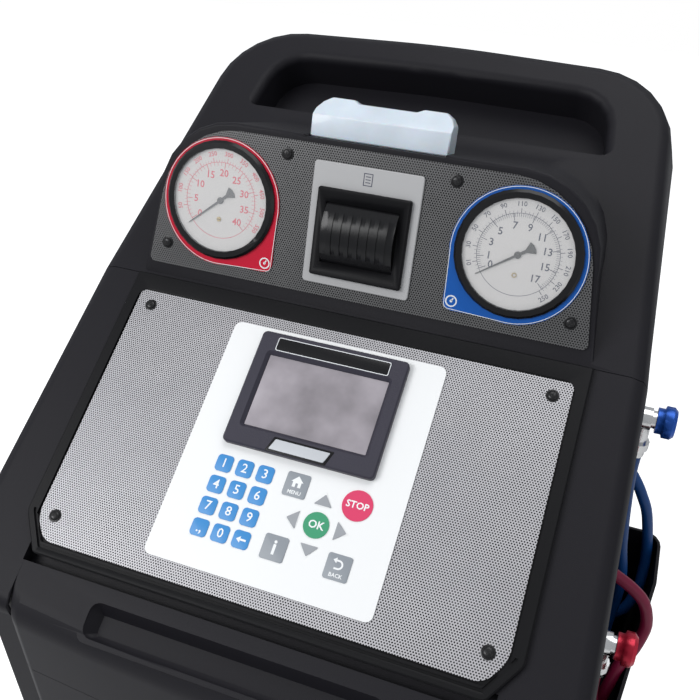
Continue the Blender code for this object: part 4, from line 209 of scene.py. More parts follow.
class StationColours(bpy.types.PropertyGroup):
    casing: bpy.props.FloatVectorProperty(
        name="Casing", description="Near-black moulded casing",
        default=(0.0105, 0.0100, 0.0130), subtype="COLOR", size=3, min=0, max=1,
    )
    hump: bpy.props.FloatVectorProperty(
        name="Frame", description="Charcoal console frame",
        default=(0.0055, 0.0055, 0.0065), subtype="COLOR", size=3, min=0, max=1,
    )
    sheet: bpy.props.FloatVectorProperty(
        name="Sheet", description="Perforated steel",
        default=(0.46, 0.455, 0.475), subtype="COLOR", size=3, min=0, max=1,
    )
    keys: bpy.props.FloatVectorProperty(
        name="Number keys", description="Light blue number keys",
        default=(0.035, 0.235, 0.560), subtype="COLOR", size=3, min=0, max=1,
    )
    low: bpy.props.FloatVectorProperty(
        name="Low side", description="Red badge and scale",
        default=(0.500, 0.006, 0.030), subtype="COLOR", size=3, min=0, max=1,
    )
    high: bpy.props.FloatVectorProperty(
        name="High side", description="Blue badge",
        default=(0.006, 0.085, 0.360), subtype="COLOR", size=3, min=0, max=1,
    )
    low_hose: bpy.props.FloatVectorProperty(
        name="Red hose", description="Rubber of the red hose",
        default=(0.170, 0.006, 0.035), subtype="COLOR", size=3, min=0, max=1,
    )
    high_hose: bpy.props.FloatVectorProperty(
        name="Blue hose", description="Rubber of the blue hose",
        default=(0.005, 0.050, 0.190), subtype="COLOR", size=3, min=0, max=1,
    )


# Materials


def surface_group():
    """Shared effect: uneven colour and gloss, and a fine grain for a bump."""
    known = bpy.data.node_groups.get("Worked surface")
    if known:
        return known
    group = bpy.data.node_groups.new("Worked surface", "ShaderNodeTree")
    inputs = (
        ("Vector", "NodeSocketVector", (0.0, 0.0, 0.0)),
        ("Colour", "NodeSocketColor", (0.5, 0.5, 0.5, 1.0)),
        ("Roughness", "NodeSocketFloat", 0.5),
        ("Cloud Scale", "NodeSocketFloat", 12.0),
        ("Cloud Shade", "NodeSocketFloat", 0.1),
        ("Cloud Gloss", "NodeSocketFloat", 0.1),
        ("Grain Scale", "NodeSocketFloat", 900.0),
    )
    for name, kind, default in inputs:
        group.interface.new_socket(name=name, in_out="INPUT", socket_type=kind).default_value = default
    results = (("Colour", "NodeSocketColor"), ("Roughness", "NodeSocketFloat"), ("Height", "NodeSocketFloat"))
    for name, kind in results:
        group.interface.new_socket(name=name, in_out="OUTPUT", socket_type=kind)
    nodes, links = group.nodes, group.links
    given = nodes.new("NodeGroupInput")
    result = nodes.new("NodeGroupOutput")
    cloud = nodes.new("ShaderNodeTexNoise")
    cloud.inputs["Detail"].default_value = 4.0
    grain = nodes.new("ShaderNodeTexNoise")
    grain.inputs["Detail"].default_value = 2.0
    links.new(given.outputs["Vector"], cloud.inputs["Vector"])
    links.new(given.outputs["Vector"], grain.inputs["Vector"])
    links.new(given.outputs["Cloud Scale"], cloud.inputs["Scale"])
    links.new(given.outputs["Grain Scale"], grain.inputs["Scale"])
    centred = nodes.new("ShaderNodeMath")
    centred.operation = "SUBTRACT"
    centred.inputs[1].default_value = 0.5
    links.new(cloud.outputs["Fac"], centred.inputs[0])
    shade = nodes.new("ShaderNodeMath")
    shade.operation = "MULTIPLY_ADD"
    shade.inputs[2].default_value = 1.0
    links.new(centred.outputs[0], shade.inputs[0])
    links.new(given.outputs["Cloud Shade"], shade.inputs[1])
    tint = nodes.new("ShaderNodeVectorMath")
    tint.operation = "SCALE"
    links.new(given.outputs["Colour"], tint.inputs[0])
    links.new(shade.outputs[0], tint.inputs["Scale"])
    gloss = nodes.new("ShaderNodeMath")
    gloss.operation = "MULTIPLY_ADD"
    links.new(centred.outputs[0], gloss.inputs[0])
    links.new(given.outputs["Cloud Gloss"], gloss.inputs[1])
    links.new(given.outputs["Roughness"], gloss.inputs[2])
    links.new(tint.outputs[0], result.inputs["Colour"])
    links.new(gloss.outputs[0], result.inputs["Roughness"])
    links.new(grain.outputs["Fac"], result.inputs["Height"])
    return group


def finish(name, colour, roughness, cloud=(12.0, 0.25, 0.12), grain=(900.0, 0.00003), **sockets):
    """A Principled material over the shared surface effect; a socket's own value is set on the shader."""
    known = bpy.data.materials.get(name)
    if known:
        return known
    material = bpy.data.materials.new(name)
    material.use_nodes = True
    nodes, links = material.node_tree.nodes, material.node_tree.links
    shader = nodes["Principled BSDF"]
    place = nodes.new("ShaderNodeTexCoord")
    effect = nodes.new("ShaderNodeGroup")
    effect.node_tree = surface_group()
    effect.inputs["Colour"].default_value = (*colour, 1.0)
    effect.inputs["Roughness"].default_value = roughness
    effect.inputs["Cloud Scale"].default_value = cloud[0]
    effect.inputs["Cloud Shade"].default_value = cloud[1]
    effect.inputs["Cloud Gloss"].default_value = cloud[2]
    effect.inputs["Grain Scale"].default_value = grain[0]
    bump = nodes.new("ShaderNodeBump")
    bump.inputs["Strength"].default_value = 1.0
    bump.inputs["Distance"].default_value = grain[1]
    links.new(place.outputs["Object"], effect.inputs["Vector"])
    links.new(effect.outputs["Colour"], shader.inputs["Base Color"])
    links.new(effect.outputs["Roughness"], shader.inputs["Roughness"])
    links.new(effect.outputs["Height"], bump.inputs["Height"])
    links.new(bump.outputs["Normal"], shader.inputs["Normal"])
    for socket, value in sockets.items():
        shader.inputs[socket.replace("_", " ")].default_value = value
    return material


def colours():
    return bpy.context.scene.station_colours


def sizes():
    return bpy.context.scene.station_sizes


def casing_plastic():
    grain = (1500.0, sizes().grain)
    return finish(
        "Grained casing", tuple(colours().casing), 0.52, (6.0, 0.16, 0.10), grain, Specular_IOR_Level=0.16,
    )


def frame_plastic():
    return finish(
        "Console frame plastic", tuple(colours().hump), 0.45, (9.0, 0.2, 0.1), (1500.0, 0.00006),
        Specular_IOR_Level=0.14,
    )


def bezel_plastic():
    return finish(
        "Textured bezel", (0.034, 0.032, 0.047), 0.50, (20.0, 0.15, 0.1), (700.0, 0.00025),
        Specular_IOR_Level=0.3,
    )


def gloss_plastic():
    return finish(
        "Glossy black", (0.006, 0.006, 0.007), 0.24, (14.0, 0.2, 0.05), (60.0, 0.000002),
        Specular_IOR_Level=0.3,
    )


def sheet_steel():
    return finish(
        "Perforated steel", tuple(colours().sheet), 0.42, (30.0, 0.12, 0.1), (1200.0, 0.00001),
        Metallic=0.30,
    )


# Painted shade: a near-black finish standing in for the shade behind the perforated sheets, in the screw
# recesses and in the adjuster slot.
def dark_gap():
    return finish("Painted shade", (0.010, 0.010, 0.011), 0.8)


def screw_steel():
    return finish(
        "Black screw", (0.020, 0.020, 0.021), 0.30, (200.0, 0.3, 0.1), (800.0, 0.00002),
        Metallic=0.6,
    )


def zinc():
    return finish("Zinc plate", (0.55, 0.56, 0.57), 0.32, (60.0, 0.25, 0.2), (700.0, 0.00002), Metallic=1.0)


def nickel():
    return finish(
        "Turned nickel", (0.70, 0.70, 0.70), 0.20, (50.0, 0.2, 0.1), (500.0, 0.00001), Metallic=1.0,
    )


def brass():
    return finish(
        "Dulled brass", (0.52, 0.40, 0.20), 0.34, (80.0, 0.3, 0.2), (500.0, 0.00002), Metallic=1.0,
    )


def white_membrane():
    return finish("White membrane", (0.80, 0.81, 0.815), 0.34, (8.0, 0.03, 0.06), (900.0, 0.00001))


def print_ink(name, colour, roughness=0.40):
    return finish(name, colour, roughness, (40.0, 0.08, 0.05), (900.0, 0.000005))


def hose_rubber(name, colour):
    return finish(name, colour, 0.42, (90.0, 0.25, 0.12), (1400.0, 0.00005), Specular_IOR_Level=0.3)


def anodised(name, colour):
    return finish(name, colour, 0.28, (70.0, 0.2, 0.08), (900.0, 0.00001), Metallic=0.55)


def tyre_rubber():
    return finish("Tyre rubber", (0.018, 0.018, 0.019), 0.72, (40.0, 0.35, 0.15), (500.0, 0.00012))


def hub_plastic():
    return finish("Grey hub", (0.16, 0.16, 0.17), 0.45, (30.0, 0.2, 0.1), (1200.0, 0.00004))


def powder_coat():
    return finish("Black powder coat", (0.022, 0.022, 0.024), 0.48, (15.0, 0.2, 0.1), (1100.0, 0.00008))


# Shapes


def flat_outline(bm, corners, height=0.0):
    """One flat face from (u, v, radius) corners, each rounded to its own radius."""
    verts = [bm.verts.new((u, v, height)) for u, v, _ in corners]
    bm.faces.new(verts)
    for vert, (_, _, radius) in zip(verts, corners):
        if radius > 0:
            bmesh.ops.bevel(
                bm, geom=[vert], offset=radius, segments=6, profile=0.5,
                affect="VERTICES", material=-1, clamp_overlap=True,
            )
    return bm


def raised(bm, height):
    """Gives every flat face in the mesh its thickness, upwards."""
    made = bmesh.ops.extrude_face_region(bm, geom=list(bm.faces), use_keep_orig=True)
    tops = [item for item in made["geom"] if isinstance(item, bmesh.types.BMVert)]
    bmesh.ops.translate(bm, verts=tops, vec=(0, 0, height))
    bmesh.ops.recalc_face_normals(bm, faces=bm.faces)
    return tops


def slab(corners, low, high, edge=0.0):
    """A plate of rounded outline from low to high; its upper edge is rounded by edge."""
    bm = bmesh.new()
    flat_outline(bm, corners, low)
    tops = set(raised(bm, high - low))
    if edge > 0:
        rim = [e for e in bm.edges if e.verts[0] in tops and e.verts[1] in tops]
        bmesh.ops.bevel(
            bm, geom=rim, offset=edge, segments=3, profile=0.5, affect="EDGES", material=-1,
        )
    return bm


def rectangle(centre, half_u, half_v, radius=0.0):
    u, v = centre
    return [
        (u - half_u, v - half_v, radius), (u + half_u, v - half_v, radius),
        (u + half_u, v + half_v, radius), (u - half_u, v + half_v, radius),
    ]


def disc(bm, centre, radius, low, high, steps=40):
    """A short cylinder standing on the plane."""
    place = Matrix.Translation((centre[0], centre[1], (low + high) / 2))
    bmesh.ops.create_cone(
        bm, cap_ends=True, segments=steps, radius1=radius, radius2=radius,
        depth=high - low, matrix=place,
    )
    return bm


def ring(bm, centre, inner, outer, low, high, steps=48):
    """A flat ring of rectangular section."""
    start = Vector((centre[0], centre[1], 0.0))
    section = [(inner, low), (outer, low), (outer, high), (inner, high)]
    verts = [bm.verts.new(start + Vector((radius, 0.0, height))) for radius, height in section]
    edges = [bm.edges.new((verts[i - 1], verts[i])) for i in range(len(verts))]
    bmesh.ops.spin(
        bm, geom=verts + edges, cent=start, axis=(0, 0, 1), angle=math.tau,
        steps=steps, use_merge=True, use_duplicate=False,
    )
    return bm


def bar(bm, start, end, width, low, high):
    """A straight mark from start to end on the plane."""
    first, last = Vector(start), Vector(end)
    run = last - first
    middle = (first + last) / 2
    turn = Matrix.Rotation(math.atan2(run.y, run.x), 4, "Z")
    size = Matrix.Diagonal((run.length, width, high - low, 1.0))
    place = Matrix.Translation((middle.x, middle.y, (low + high) / 2))
    bmesh.ops.create_cube(bm, size=1.0, matrix=place @ turn @ size)
    return bm


def turned(profile, steps=48):
    """Turns (radius, height) points round the Z axis."""
    bm = bmesh.new()
    verts = [bm.verts.new((radius, 0.0, height)) for radius, height in profile]
    edges = [bm.edges.new(pair) for pair in zip(verts, verts[1:])]
    bmesh.ops.spin(
        bm, geom=verts + edges, cent=(0, 0, 0), axis=(0, 0, 1), angle=math.tau,
        steps=steps, use_merge=True, use_duplicate=False,
    )
    return bm


def join(bm, other, place=UPRIGHT):
    """Adds another mesh to this one."""
    other.transform(place)
    mesh = bpy.data.meshes.new("joined")
    other.to_mesh(mesh)
    other.free()
    bm.from_mesh(mesh)
    bpy.data.meshes.remove(mesh)
    return bm


def lettering(bm, text, size, centre, angle, low, weight=0.0):
    """Printed characters, centred on a point of the plane."""
    curve = bpy.data.curves.new("print", "FONT")
    curve.body = text
    curve.size = size
    curve.offset = weight * size
    curve.extrude = PRINT / 2
    curve.resolution_u = 2
    curve.align_x = "CENTER"
    curve.align_y = "CENTER"
    holder = bpy.data.objects.new("print", curve)
    bpy.context.scene.collection.objects.link(holder)
    mesh = bpy.data.meshes.new_from_object(holder)
    bpy.data.objects.remove(holder)
    bpy.data.curves.remove(curve)
    letters = bmesh.new()
    letters.from_mesh(mesh)
    bpy.data.meshes.remove(mesh)
    place = Matrix.Translation((centre[0], centre[1], low + PRINT / 2)) @ Matrix.Rotation(angle, 4, "Z")
    return join(bm, letters, place)


def piece(name, bm, place, body, material, smooth=True):
    """Finishes a mesh as an object at the origin that rides on a body."""
    bm.transform(place)
    bmesh.ops.remove_doubles(bm, verts=bm.verts, dist=WELD / 10)
    bmesh.ops.recalc_face_normals(bm, faces=bm.faces)
    mesh = bpy.data.meshes.new(name)
    bm.to_mesh(mesh)
    bm.free()
    if smooth:
        mesh.shade_smooth()
        mesh.set_sharp_from_angle(angle=SMOOTH_ANGLE)
    obj = bpy.data.objects.new(name, mesh)
    bpy.context.scene.collection.objects.link(obj)
    mesh.materials.append(material)
    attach(obj, body)
    return obj


def body_of(node):
    return NODES[node]["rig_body"]


def node_mesh(node, place=UPRIGHT):
    """A CAD node's mesh, merged, in a plane's own coordinates."""
    bm = bmesh.new()
    bm.from_mesh(NODES[node].data)
    bmesh.ops.remove_doubles(bm, verts=bm.verts, dist=WELD)
    bm.transform(place.inverted())
    return bm


def top_of(node, place):
    """How far a CAD node stands up from a plane."""
    inverse = place.inverted()
    return max((inverse @ vert.co).z for vert in NODES[node].data.vertices)


def dress(node, material, painted=()):
    """Replaces a CAD node by its own shape, merged and evenly shaded, and paints faces that pass a test."""
    bm = node_mesh(node)
    bmesh.ops.dissolve_limit(
        bm, angle_limit=math.radians(0.2), verts=bm.verts, edges=bm.edges, use_dissolve_boundaries=False,
    )
    skin = piece(f"{node}_dressed", bm, UPRIGHT, body_of(node), material)
    for second, test in painted:
        skin.data.materials.append(second)
        index = len(skin.data.materials) - 1
        for face in skin.data.polygons:
            if test(face):
                face.material_index = index
    weigh = skin.modifiers.new("Even shading", "WEIGHTED_NORMAL")
    weigh.keep_sharp = True
    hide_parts(node)
    return skin


# Cords


def between(points, knots, t):
    """A Catmull-Rom point whose knots are spaced by the square root of the distance."""
    p0, p1, p2, p3 = points
    t0, t1, t2, t3 = knots
    a1 = p0 * ((t1 - t) / (t1 - t0)) + p1 * ((t - t0) / (t1 - t0))
    a2 = p1 * ((t2 - t) / (t2 - t1)) + p2 * ((t - t1) / (t2 - t1))
    a3 = p2 * ((t3 - t) / (t3 - t2)) + p3 * ((t - t2) / (t3 - t2))
    b1 = a1 * ((t2 - t) / (t2 - t0)) + a2 * ((t - t0) / (t2 - t0))
    b2 = a2 * ((t3 - t) / (t3 - t1)) + a3 * ((t - t1) / (t3 - t1))
    return b1 * ((t2 - t) / (t2 - t1)) + b2 * ((t - t1) / (t2 - t1))


def smooth_route(points, steps=6):
    """A smooth line through the points, straight at both ends."""
    anchors = [Vector(point) for point in points]
    padded = [2 * anchors[0] - anchors[1], *anchors, 2 * anchors[-1] - anchors[-2]]
    route = []
    for index in range(1, len(padded) - 2):
        near = padded[index - 1:index + 3]
        knots = [0.0]
        for start, end in zip(near, near[1:]):
            knots.append(knots[-1] + max((end - start).length, 1e-6) ** 0.5)
        for step in range(steps):
            here = knots[1] + (knots[2] - knots[1]) * step / steps
            route.append(between(near, knots, here))
    route.append(anchors[-1])
    return route


def eased(value, start, end):
    """0 before start, 1 after end, and a smooth rise between them."""
    share = min(max((value - start) / (end - start), 0.0), 1.0)
    return share * share * (3 - 2 * share)


def coil_turns(centre_y):
    """The wound stretch: out through three turns, across, and back in through two more."""
    inner, middle, outer = COIL_TURN_RADII
    points = []
    for turned_by in range(0, COIL_LAST + 1, COIL_STEP):
        radius = inner + (middle - inner) * (eased(turned_by, 310, 360) - eased(turned_by, 1610, 1660))
        radius += (outer - middle) * (eased(turned_by, 670, 720) - eased(turned_by, 1250, 1300))
        across = COIL_OUTSIDE + (COIL_INSIDE - COIL_OUTSIDE) * eased(turned_by, 950, 1000)
        angle = math.radians(COIL_START - turned_by)
        points.append((across, centre_y + radius * math.cos(angle), COIL_HEIGHT + radius * math.sin(angle)))
    return points


def from_centre(points, centre_y):
    return [(x, centre_y + y, COIL_HEIGHT + z) for x, y, z in points]


def hose(name, drop, rise, way_in, way_out, centre_y, colour, nodes):
    """One charging hose, from its outlet down, round its coil and up to its coupler."""
    points = [*drop, *from_centre(way_in, centre_y), *coil_turns(centre_y)]
    points += [*from_centre(way_out, centre_y), *rise]
    route = smooth_route(points, 3)
    curve = bpy.data.curves.new(name, "CURVE")
    curve.dimensions = "3D"
    curve.bevel_depth = HOSE_RADIUS
    curve.bevel_resolution = 4
    curve.use_fill_caps = True
    line = curve.splines.new("POLY")
    line.points.add(len(route) - 1)
    for point, place in zip(line.points, route):
        point.co = (*place, 1.0)
    line.use_smooth = True
    obj = bpy.data.objects.new(name, curve)
    bpy.context.scene.collection.objects.link(obj)
    curve.materials.append(hose_rubber(f"{name} rubber", tuple(colour)))
    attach(obj, STATION)
    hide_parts(f"{nodes}_hose_drop", f"{nodes}_hose_coil", f"{nodes}_hose_rise")
    return obj


# Perforated sheets


def outline_of(corners):
    """The rounded outline as a list of (u, v) points."""
    bm = flat_outline(bmesh.new(), corners)
    bm.faces.ensure_lookup_table()
    points = [vert.co.copy() for vert in bm.faces[0].verts]
    bm.free()
    return points


def honeycomb(low, high, pitch, hole):
    """A field of six-sided cells, each round its own hole, over the box from low to high."""
    bm = bmesh.new()
    bmesh.ops.create_circle(bm, segments=6, radius=pitch / math.sqrt(3))
    bmesh.ops.create_circle(bm, segments=6, radius=hole / 2)
    bmesh.ops.bridge_loops(bm, edges=list(bm.edges))
    bmesh.ops.translate(bm, verts=bm.verts, vec=(low[0], low[1], 0))
    row = pitch * math.sqrt(3) / 2
    columns = math.ceil((high[0] - low[0]) / pitch)
    rows = math.ceil((high[1] - low[1]) / (2 * row))
    second = bmesh.ops.duplicate(bm, geom=list(bm.faces))
    moved = [item for item in second["geom"] if isinstance(item, bmesh.types.BMVert)]
    bmesh.ops.translate(bm, verts=moved, vec=(pitch / 2, row, 0))
    for count, step in ((columns, Vector((pitch, 0, 0))), (rows, Vector((0, 2 * row, 0)))):
        for doubled in range(math.ceil(math.log2(count))):
            made = bmesh.ops.duplicate(bm, geom=list(bm.faces))
            moved = [item for item in made["geom"] if isinstance(item, bmesh.types.BMVert)]
            bmesh.ops.translate(bm, verts=moved, vec=step * 2 ** doubled)
            beyond = [f for f in bm.faces if f.calc_center_median().x > high[0] + pitch
                      or f.calc_center_median().y > high[1] + 2 * row]
            bmesh.ops.delete(bm, geom=beyond, context="FACES")
    return bm


def perforated(corners, covered, pitch, hole, thickness):
    """A sheet of real holes, trimmed to its outline; cells under what covers them are left out."""
    outline = outline_of(corners)
    low = Vector((min(p.x for p in outline), min(p.y for p in outline)))
    high = Vector((max(p.x for p in outline), max(p.y for p in outline)))
    bm = honeycomb(low, high, pitch, hole)
    hidden = [face for face in bm.faces if covered(face.calc_center_median())]
    bmesh.ops.delete(bm, geom=hidden, context="FACES")
    bmesh.ops.remove_doubles(bm, verts=bm.verts, dist=WELD)
    for start, end in zip(outline, outline[1:] + outline[:1]):
        run = end - start
        away = Vector((run.y, -run.x, 0)).normalized()
        bmesh.ops.bisect_plane(
            bm, geom=bm.verts[:] + bm.edges[:] + bm.faces[:], dist=WELD / 10,
            plane_co=start, plane_no=away, clear_outer=True,
        )
    rims = [edge for edge in bm.edges if edge.is_boundary]
    walls = bmesh.ops.extrude_edge_only(bm, edges=rims)
    lower = [item for item in walls["geom"] if isinstance(item, bmesh.types.BMVert)]
    bmesh.ops.translate(bm, verts=lower, vec=(0, 0, -thickness))
    return bm


def two_halves(name, bm, material):
    """The sheet as a left and a right piece, so that neither is too heavy."""
    for side, label in ((-1, "left"), (1, "right")):
        half = bm.copy()
        other = [face for face in half.faces if face.calc_center_median().x * side < 0]
        bmesh.ops.delete(half, geom=other, context="FACES")
        plane, node = SHEET_PLACES[name]
        part = piece(f"{name}_{label}", half, plane, STATION, material, smooth=False)
        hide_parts(node)
    bm.free()


def inside_box(point, half_u, low, high, spare=0.0):
    return abs(point.x) < half_u - spare and low + spare < point.y < high - spare


def console_sheet():
    size = sizes()

    def hidden(point):
        return inside_box(point, MEMBRANE_HALF, MEMBRANE_FOOT, MEMBRANE_TOP, COVER_LAP)

    bm = perforated(CONSOLE_OUTLINE, hidden, size.hole_pitch, size.hole_width, size.sheet)
    two_halves("console_sheet", bm, sheet_steel())
    # A dark sheet under the console sheet: painted shade behind its holes.
    shade_sheet = slab(CONSOLE_OUTLINE, -0.0015, -0.0012)
    behind = piece("console_painted_shade_sheet", shade_sheet, CONSOLE, STATION, dark_gap(), smooth=False)
    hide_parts("console_plate")


def gauge_sheet():
    size = sizes()

    def hidden(point):
        for side in (-1, 1):
            if (point - Vector((side * GAUGE_AT[0], GAUGE_AT[1], 0))).length < RING_RADIUS - COVER_LAP:
                return True
        return inside_box(point, SURROUND_HALF, SURROUND_FOOT, SURROUND_TOP, COVER_LAP)

    bm = perforated(GAUGE_OUTLINE, hidden, size.hole_pitch, size.hole_width, size.sheet)
    # The gauge sheet takes the perforated steel in painted shade.
    two_halves("gauge_sheet", bm, dark_sheet_steel())
    # A dark sheet under the gauge sheet: painted shade behind its holes.
    behind = piece(
        "gauge_painted_shade_sheet", slab(GAUGE_OUTLINE, -0.0017, -0.0013), GAUGE_FACE, STATION,
        dark_gap(), smooth=False,
    )
    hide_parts("gauge_plate")


# Screws


def screw(bm, centre, low, radius, washer, cross_turn):
    """A pan-head screw on its washer, with a cross recess."""
    place = Matrix.Translation((centre[0], centre[1], low)) @ Matrix.Rotation(cross_turn, 4, "Z")
    profile = [
        (0.0, 0.0), (washer, 0.0), (washer, 0.0005), (washer - 0.0003, 0.0007), (radius, 0.0007),
        (radius, 0.0013), (radius * 0.86, 0.0021), (radius * 0.5, 0.0026), (0.0, 0.0027),
    ]
    head = turned(profile, 32)
    join(bm, head, place)
    return bm


def cross_recess(bm, centre, low, radius, cross_turn):
    """The cross recess on a screw's head, drawn as raised bars in painted shade."""
    turn = Matrix.Translation((centre[0], centre[1], low)) @ Matrix.Rotation(cross_turn, 4, "Z")
    marks = bmesh.new()
    reach = radius * 0.52
    bar(marks, (-reach, 0), (reach, 0), radius * 0.2, 0.0022, 0.00285)
    bar(marks, (0, -reach), (0, reach), radius * 0.2, 0.0022, 0.00285)
    return join(bm, marks, turn)


def screws(name, places, plane, low):
    size = sizes()
    heads, crosses = bmesh.new(), bmesh.new()
    for index, place in enumerate(places):
        angle = math.radians(17 + 53 * index)
        screw(heads, place, low, size.screw_radius, size.washer_radius, angle)
        cross_recess(crosses, place, low, size.screw_radius, angle)
    piece(name, heads, plane, STATION, screw_steel())
    # The crosses are painted shade for the recesses.
    piece(f"{name}_recess_shade", crosses, plane, STATION, dark_gap(), smooth=False)


# Gauges


def radial(centre, radius, degrees):
    angle = math.radians(degrees)
    return (centre[0] + radius * math.cos(angle), centre[1] + radius * math.sin(angle))


def scale_marks(bm, centre, angles, inner, outer, width, low):
    for degrees in angles:
        bar(bm, radial(centre, inner, degrees), radial(centre, outer, degrees), width, low, low + PRINT)
    return bm


def low_inner_angle(value):
    return 216.5 - 6.5 * value


def low_outer_angle(step):
    return 195.0 - 22.3 * step


def high_outer_angle(value):
    return 209 - 1.033 * value


def low_scale(low):
    """The pinkish red printing of the low-pressure dial."""
    centre = (-GAUGE_AT[0], GAUGE_AT[1])
    bm = bmesh.new()
    ring(bm, centre, SCALE_INNER, SCALE_OUTER, low, low + PRINT, 96)
    scale_marks(
        bm, centre, [low_inner_angle(value) for value in range(0, 41, 5)], LONG_MARK_INNER,
        SCALE_INNER, WIDE_MARK, low,
    )
    scale_marks(
        bm, centre, [low_inner_angle(value) for value in range(0, 41)], 0.0302, SCALE_INNER,
        THIN_MARK, low,
    )
    scale_marks(
        bm, centre, [low_outer_angle(step) for step in range(0, 11)], SCALE_OUTER, LONG_MARK_OUTER,
        WIDE_MARK, low,
    )
    scale_marks(
        bm, centre, [low_outer_angle(step / 5) for step in range(-3, 53)], SCALE_OUTER,
        SHORT_MARK_OUTER, FINE_MARK, low,
    )
    for value in range(0, 41, 5):
        spot = radial(centre, 0.0240, low_inner_angle(value))
        lettering(bm, str(value), 0.0086, spot, 0.0, low, 0.014)
    for step in range(0, 11):
        angle = low_outer_angle(step)
        lettering(
            bm, str(50 + 50 * step), 0.0056, radial(centre, 0.0405, angle),
            math.radians(angle - 90), low, 0.012,
        )
    return bm


def high_scale(low):
    """The dark printing of the high-pressure dial."""
    centre = GAUGE_AT
    numbers = (0, 1, 3, 5, 7, 9, 11, 13, 15, 17)
    angles = (209, 191, 164, 136, 105.5, 75.6, 45.5, 15.5, -14.7, -45)
    bm = bmesh.new()
    ring(bm, centre, SCALE_INNER, SCALE_OUTER, low, low + PRINT, 96)
    scale_marks(bm, centre, angles, LONG_MARK_INNER, SCALE_INNER, WIDE_MARK, low)
    scale_marks(
        bm, centre, [209 - 3.0 * step for step in range(0, 85)], 0.0304, SCALE_INNER, THIN_MARK,
        low,
    )
    scale_marks(
        bm, centre, [high_outer_angle(value) for value in range(10, 251, 20)], SCALE_OUTER,
        LONG_MARK_OUTER, WIDE_MARK, low,
    )
    scale_marks(
        bm, centre, [high_outer_angle(value) for value in range(0, 251, 5)], SCALE_OUTER,
        SHORT_MARK_OUTER, FINE_MARK, low,
    )
    for value, angle in zip(numbers, angles):
        lettering(bm, str(value), 0.0084, radial(centre, 0.0235, angle), 0.0, low, 0.014)
    for value in range(10, 251, 20):
        angle = high_outer_angle(value)
        turn = angle - 90 if math.sin(math.radians(angle)) > -0.2 else angle + 90
        lettering(
            bm, str(value), 0.0055, radial(centre, 0.0405, angle), math.radians(turn), low, 0.012,
        )
    return bm


def gauge_lens_glass():
    return finish(
        "Gauge lens", (0.90, 0.92, 0.93), 0.04, (9.0, 0.02, 0.02), (60.0, 0.0),
        Alpha=0.10, Specular_IOR_Level=0.5,
    )


def needle_icon(bm, centre, size, low):
    """A gauge icon: an open ring, a needle and a hub."""
    ring(bm, centre, size * 0.78, size, low, low + PRINT, 40)
    tip = radial(centre, size * 0.62, 60)
    bar(bm, centre, tip, size * 0.22, low, low + PRINT)
    disc(bm, centre, size * 0.24, low, low + PRINT, 20)
    return bm


def badge_print(name, side, low):
    """The light outline and gauge icon of one coloured badge."""
    centre = (side * GAUGE_AT[0], 0.0787)
    bm = bmesh.new()
    corner = -side
    icon = (centre[0] + corner * 0.0474, centre[1] - 0.0466)
    needle_icon(bm, icon, 0.0050, low)
    circle = ring(bmesh.new(), centre, 0.0551, 0.0556, low, low + PRINT, 96)
    middles = [(face, face.calc_center_median()) for face in circle.faces]
    near = [face for face, at in middles if (at.x - centre[0]) * corner > 0 and at.y < centre[1]]
    bmesh.ops.delete(circle, geom=near, context="FACES")
    join(bm, circle)
    edge = ((0.0, 0.05535), (0.0500, 0.0533), (0.0523, 0.0523), (0.0533, 0.0500), (0.05535, 0.0))
    for start, end in zip(edge, edge[1:]):
        bar(
            bm, (centre[0] + corner * start[0], centre[1] - start[1]),
            (centre[0] + corner * end[0], centre[1] - end[1]), 0.0005, low, low + PRINT,
        )
    piece(
        name, bm, GAUGE_FACE, STATION, print_ink("Light print", (0.72, 0.74, 0.76)),
        smooth=False,
    )


def screw_caps():
    """The small brass screw under the left hub and the ring under the right one."""
    low_top = top_of("low_gauge_dial", GAUGE_FACE)
    high_top = top_of("high_gauge_dial", GAUGE_FACE)
    bm = bmesh.new()
    disc(bm, (-GAUGE_AT[0], GAUGE_AT[1] - ADJUSTER_DROP), 0.0021, low_top, low_top + 0.0007, 24)
    ring(bm, (GAUGE_AT[0], GAUGE_AT[1] - ADJUSTER_DROP), 0.0013, 0.0021, high_top, high_top + 0.0006, 24)
    piece("dial_adjusters", bm, GAUGE_FACE, STATION, brass())
    # The adjuster's slot is a dark bar of painted shade.
    slots = bmesh.new()
    height = GAUGE_AT[1] - ADJUSTER_DROP
    bar(
        slots, (-GAUGE_AT[0] - 0.0018, height), (-GAUGE_AT[0] + 0.0018, height),
        0.0005, low_top + 0.0006, low_top + 0.0008,
    )
    piece("dial_adjuster_slot_shade", slots, GAUGE_FACE, STATION, dark_gap(), smooth=False)


def receipt_icon():
    """The printed receipt above the printer door."""
    low = top_of("printer_surround", GAUGE_FACE)
    bm = bmesh.new()
    outlined(
        bm, rectangle(RECEIPT_AT, 0.0040, 0.0052), rectangle(RECEIPT_AT, 0.0034, 0.0046), low,
        low + PRINT,
    )
    for row in range(3):
        height = RECEIPT_AT[1] + 0.0024 - 0.0024 * row
        bar(
            bm, (RECEIPT_AT[0] - 0.0022, height), (RECEIPT_AT[0] + 0.0022, height), 0.0006, low,
            low + PRINT,
        )
    ink = print_ink("Dark print", (0.020, 0.024, 0.060))
    piece("receipt_icon", bm, GAUGE_FACE, STATION, ink, smooth=False)


# Keypad


def key_places():
    """The twelve number keys, by their text."""
    texts = ("1", "2", "3", "4", "5", "6", "7", "8", "9", ".", "0", "back")
    places = {}
    for index, text in enumerate(texts):
        column, row = index % 3, index // 3
        places[text] = (KEY_START[0] + KEY_STEP * column, KEY_START[1] - KEY_STEP * row)
    return places


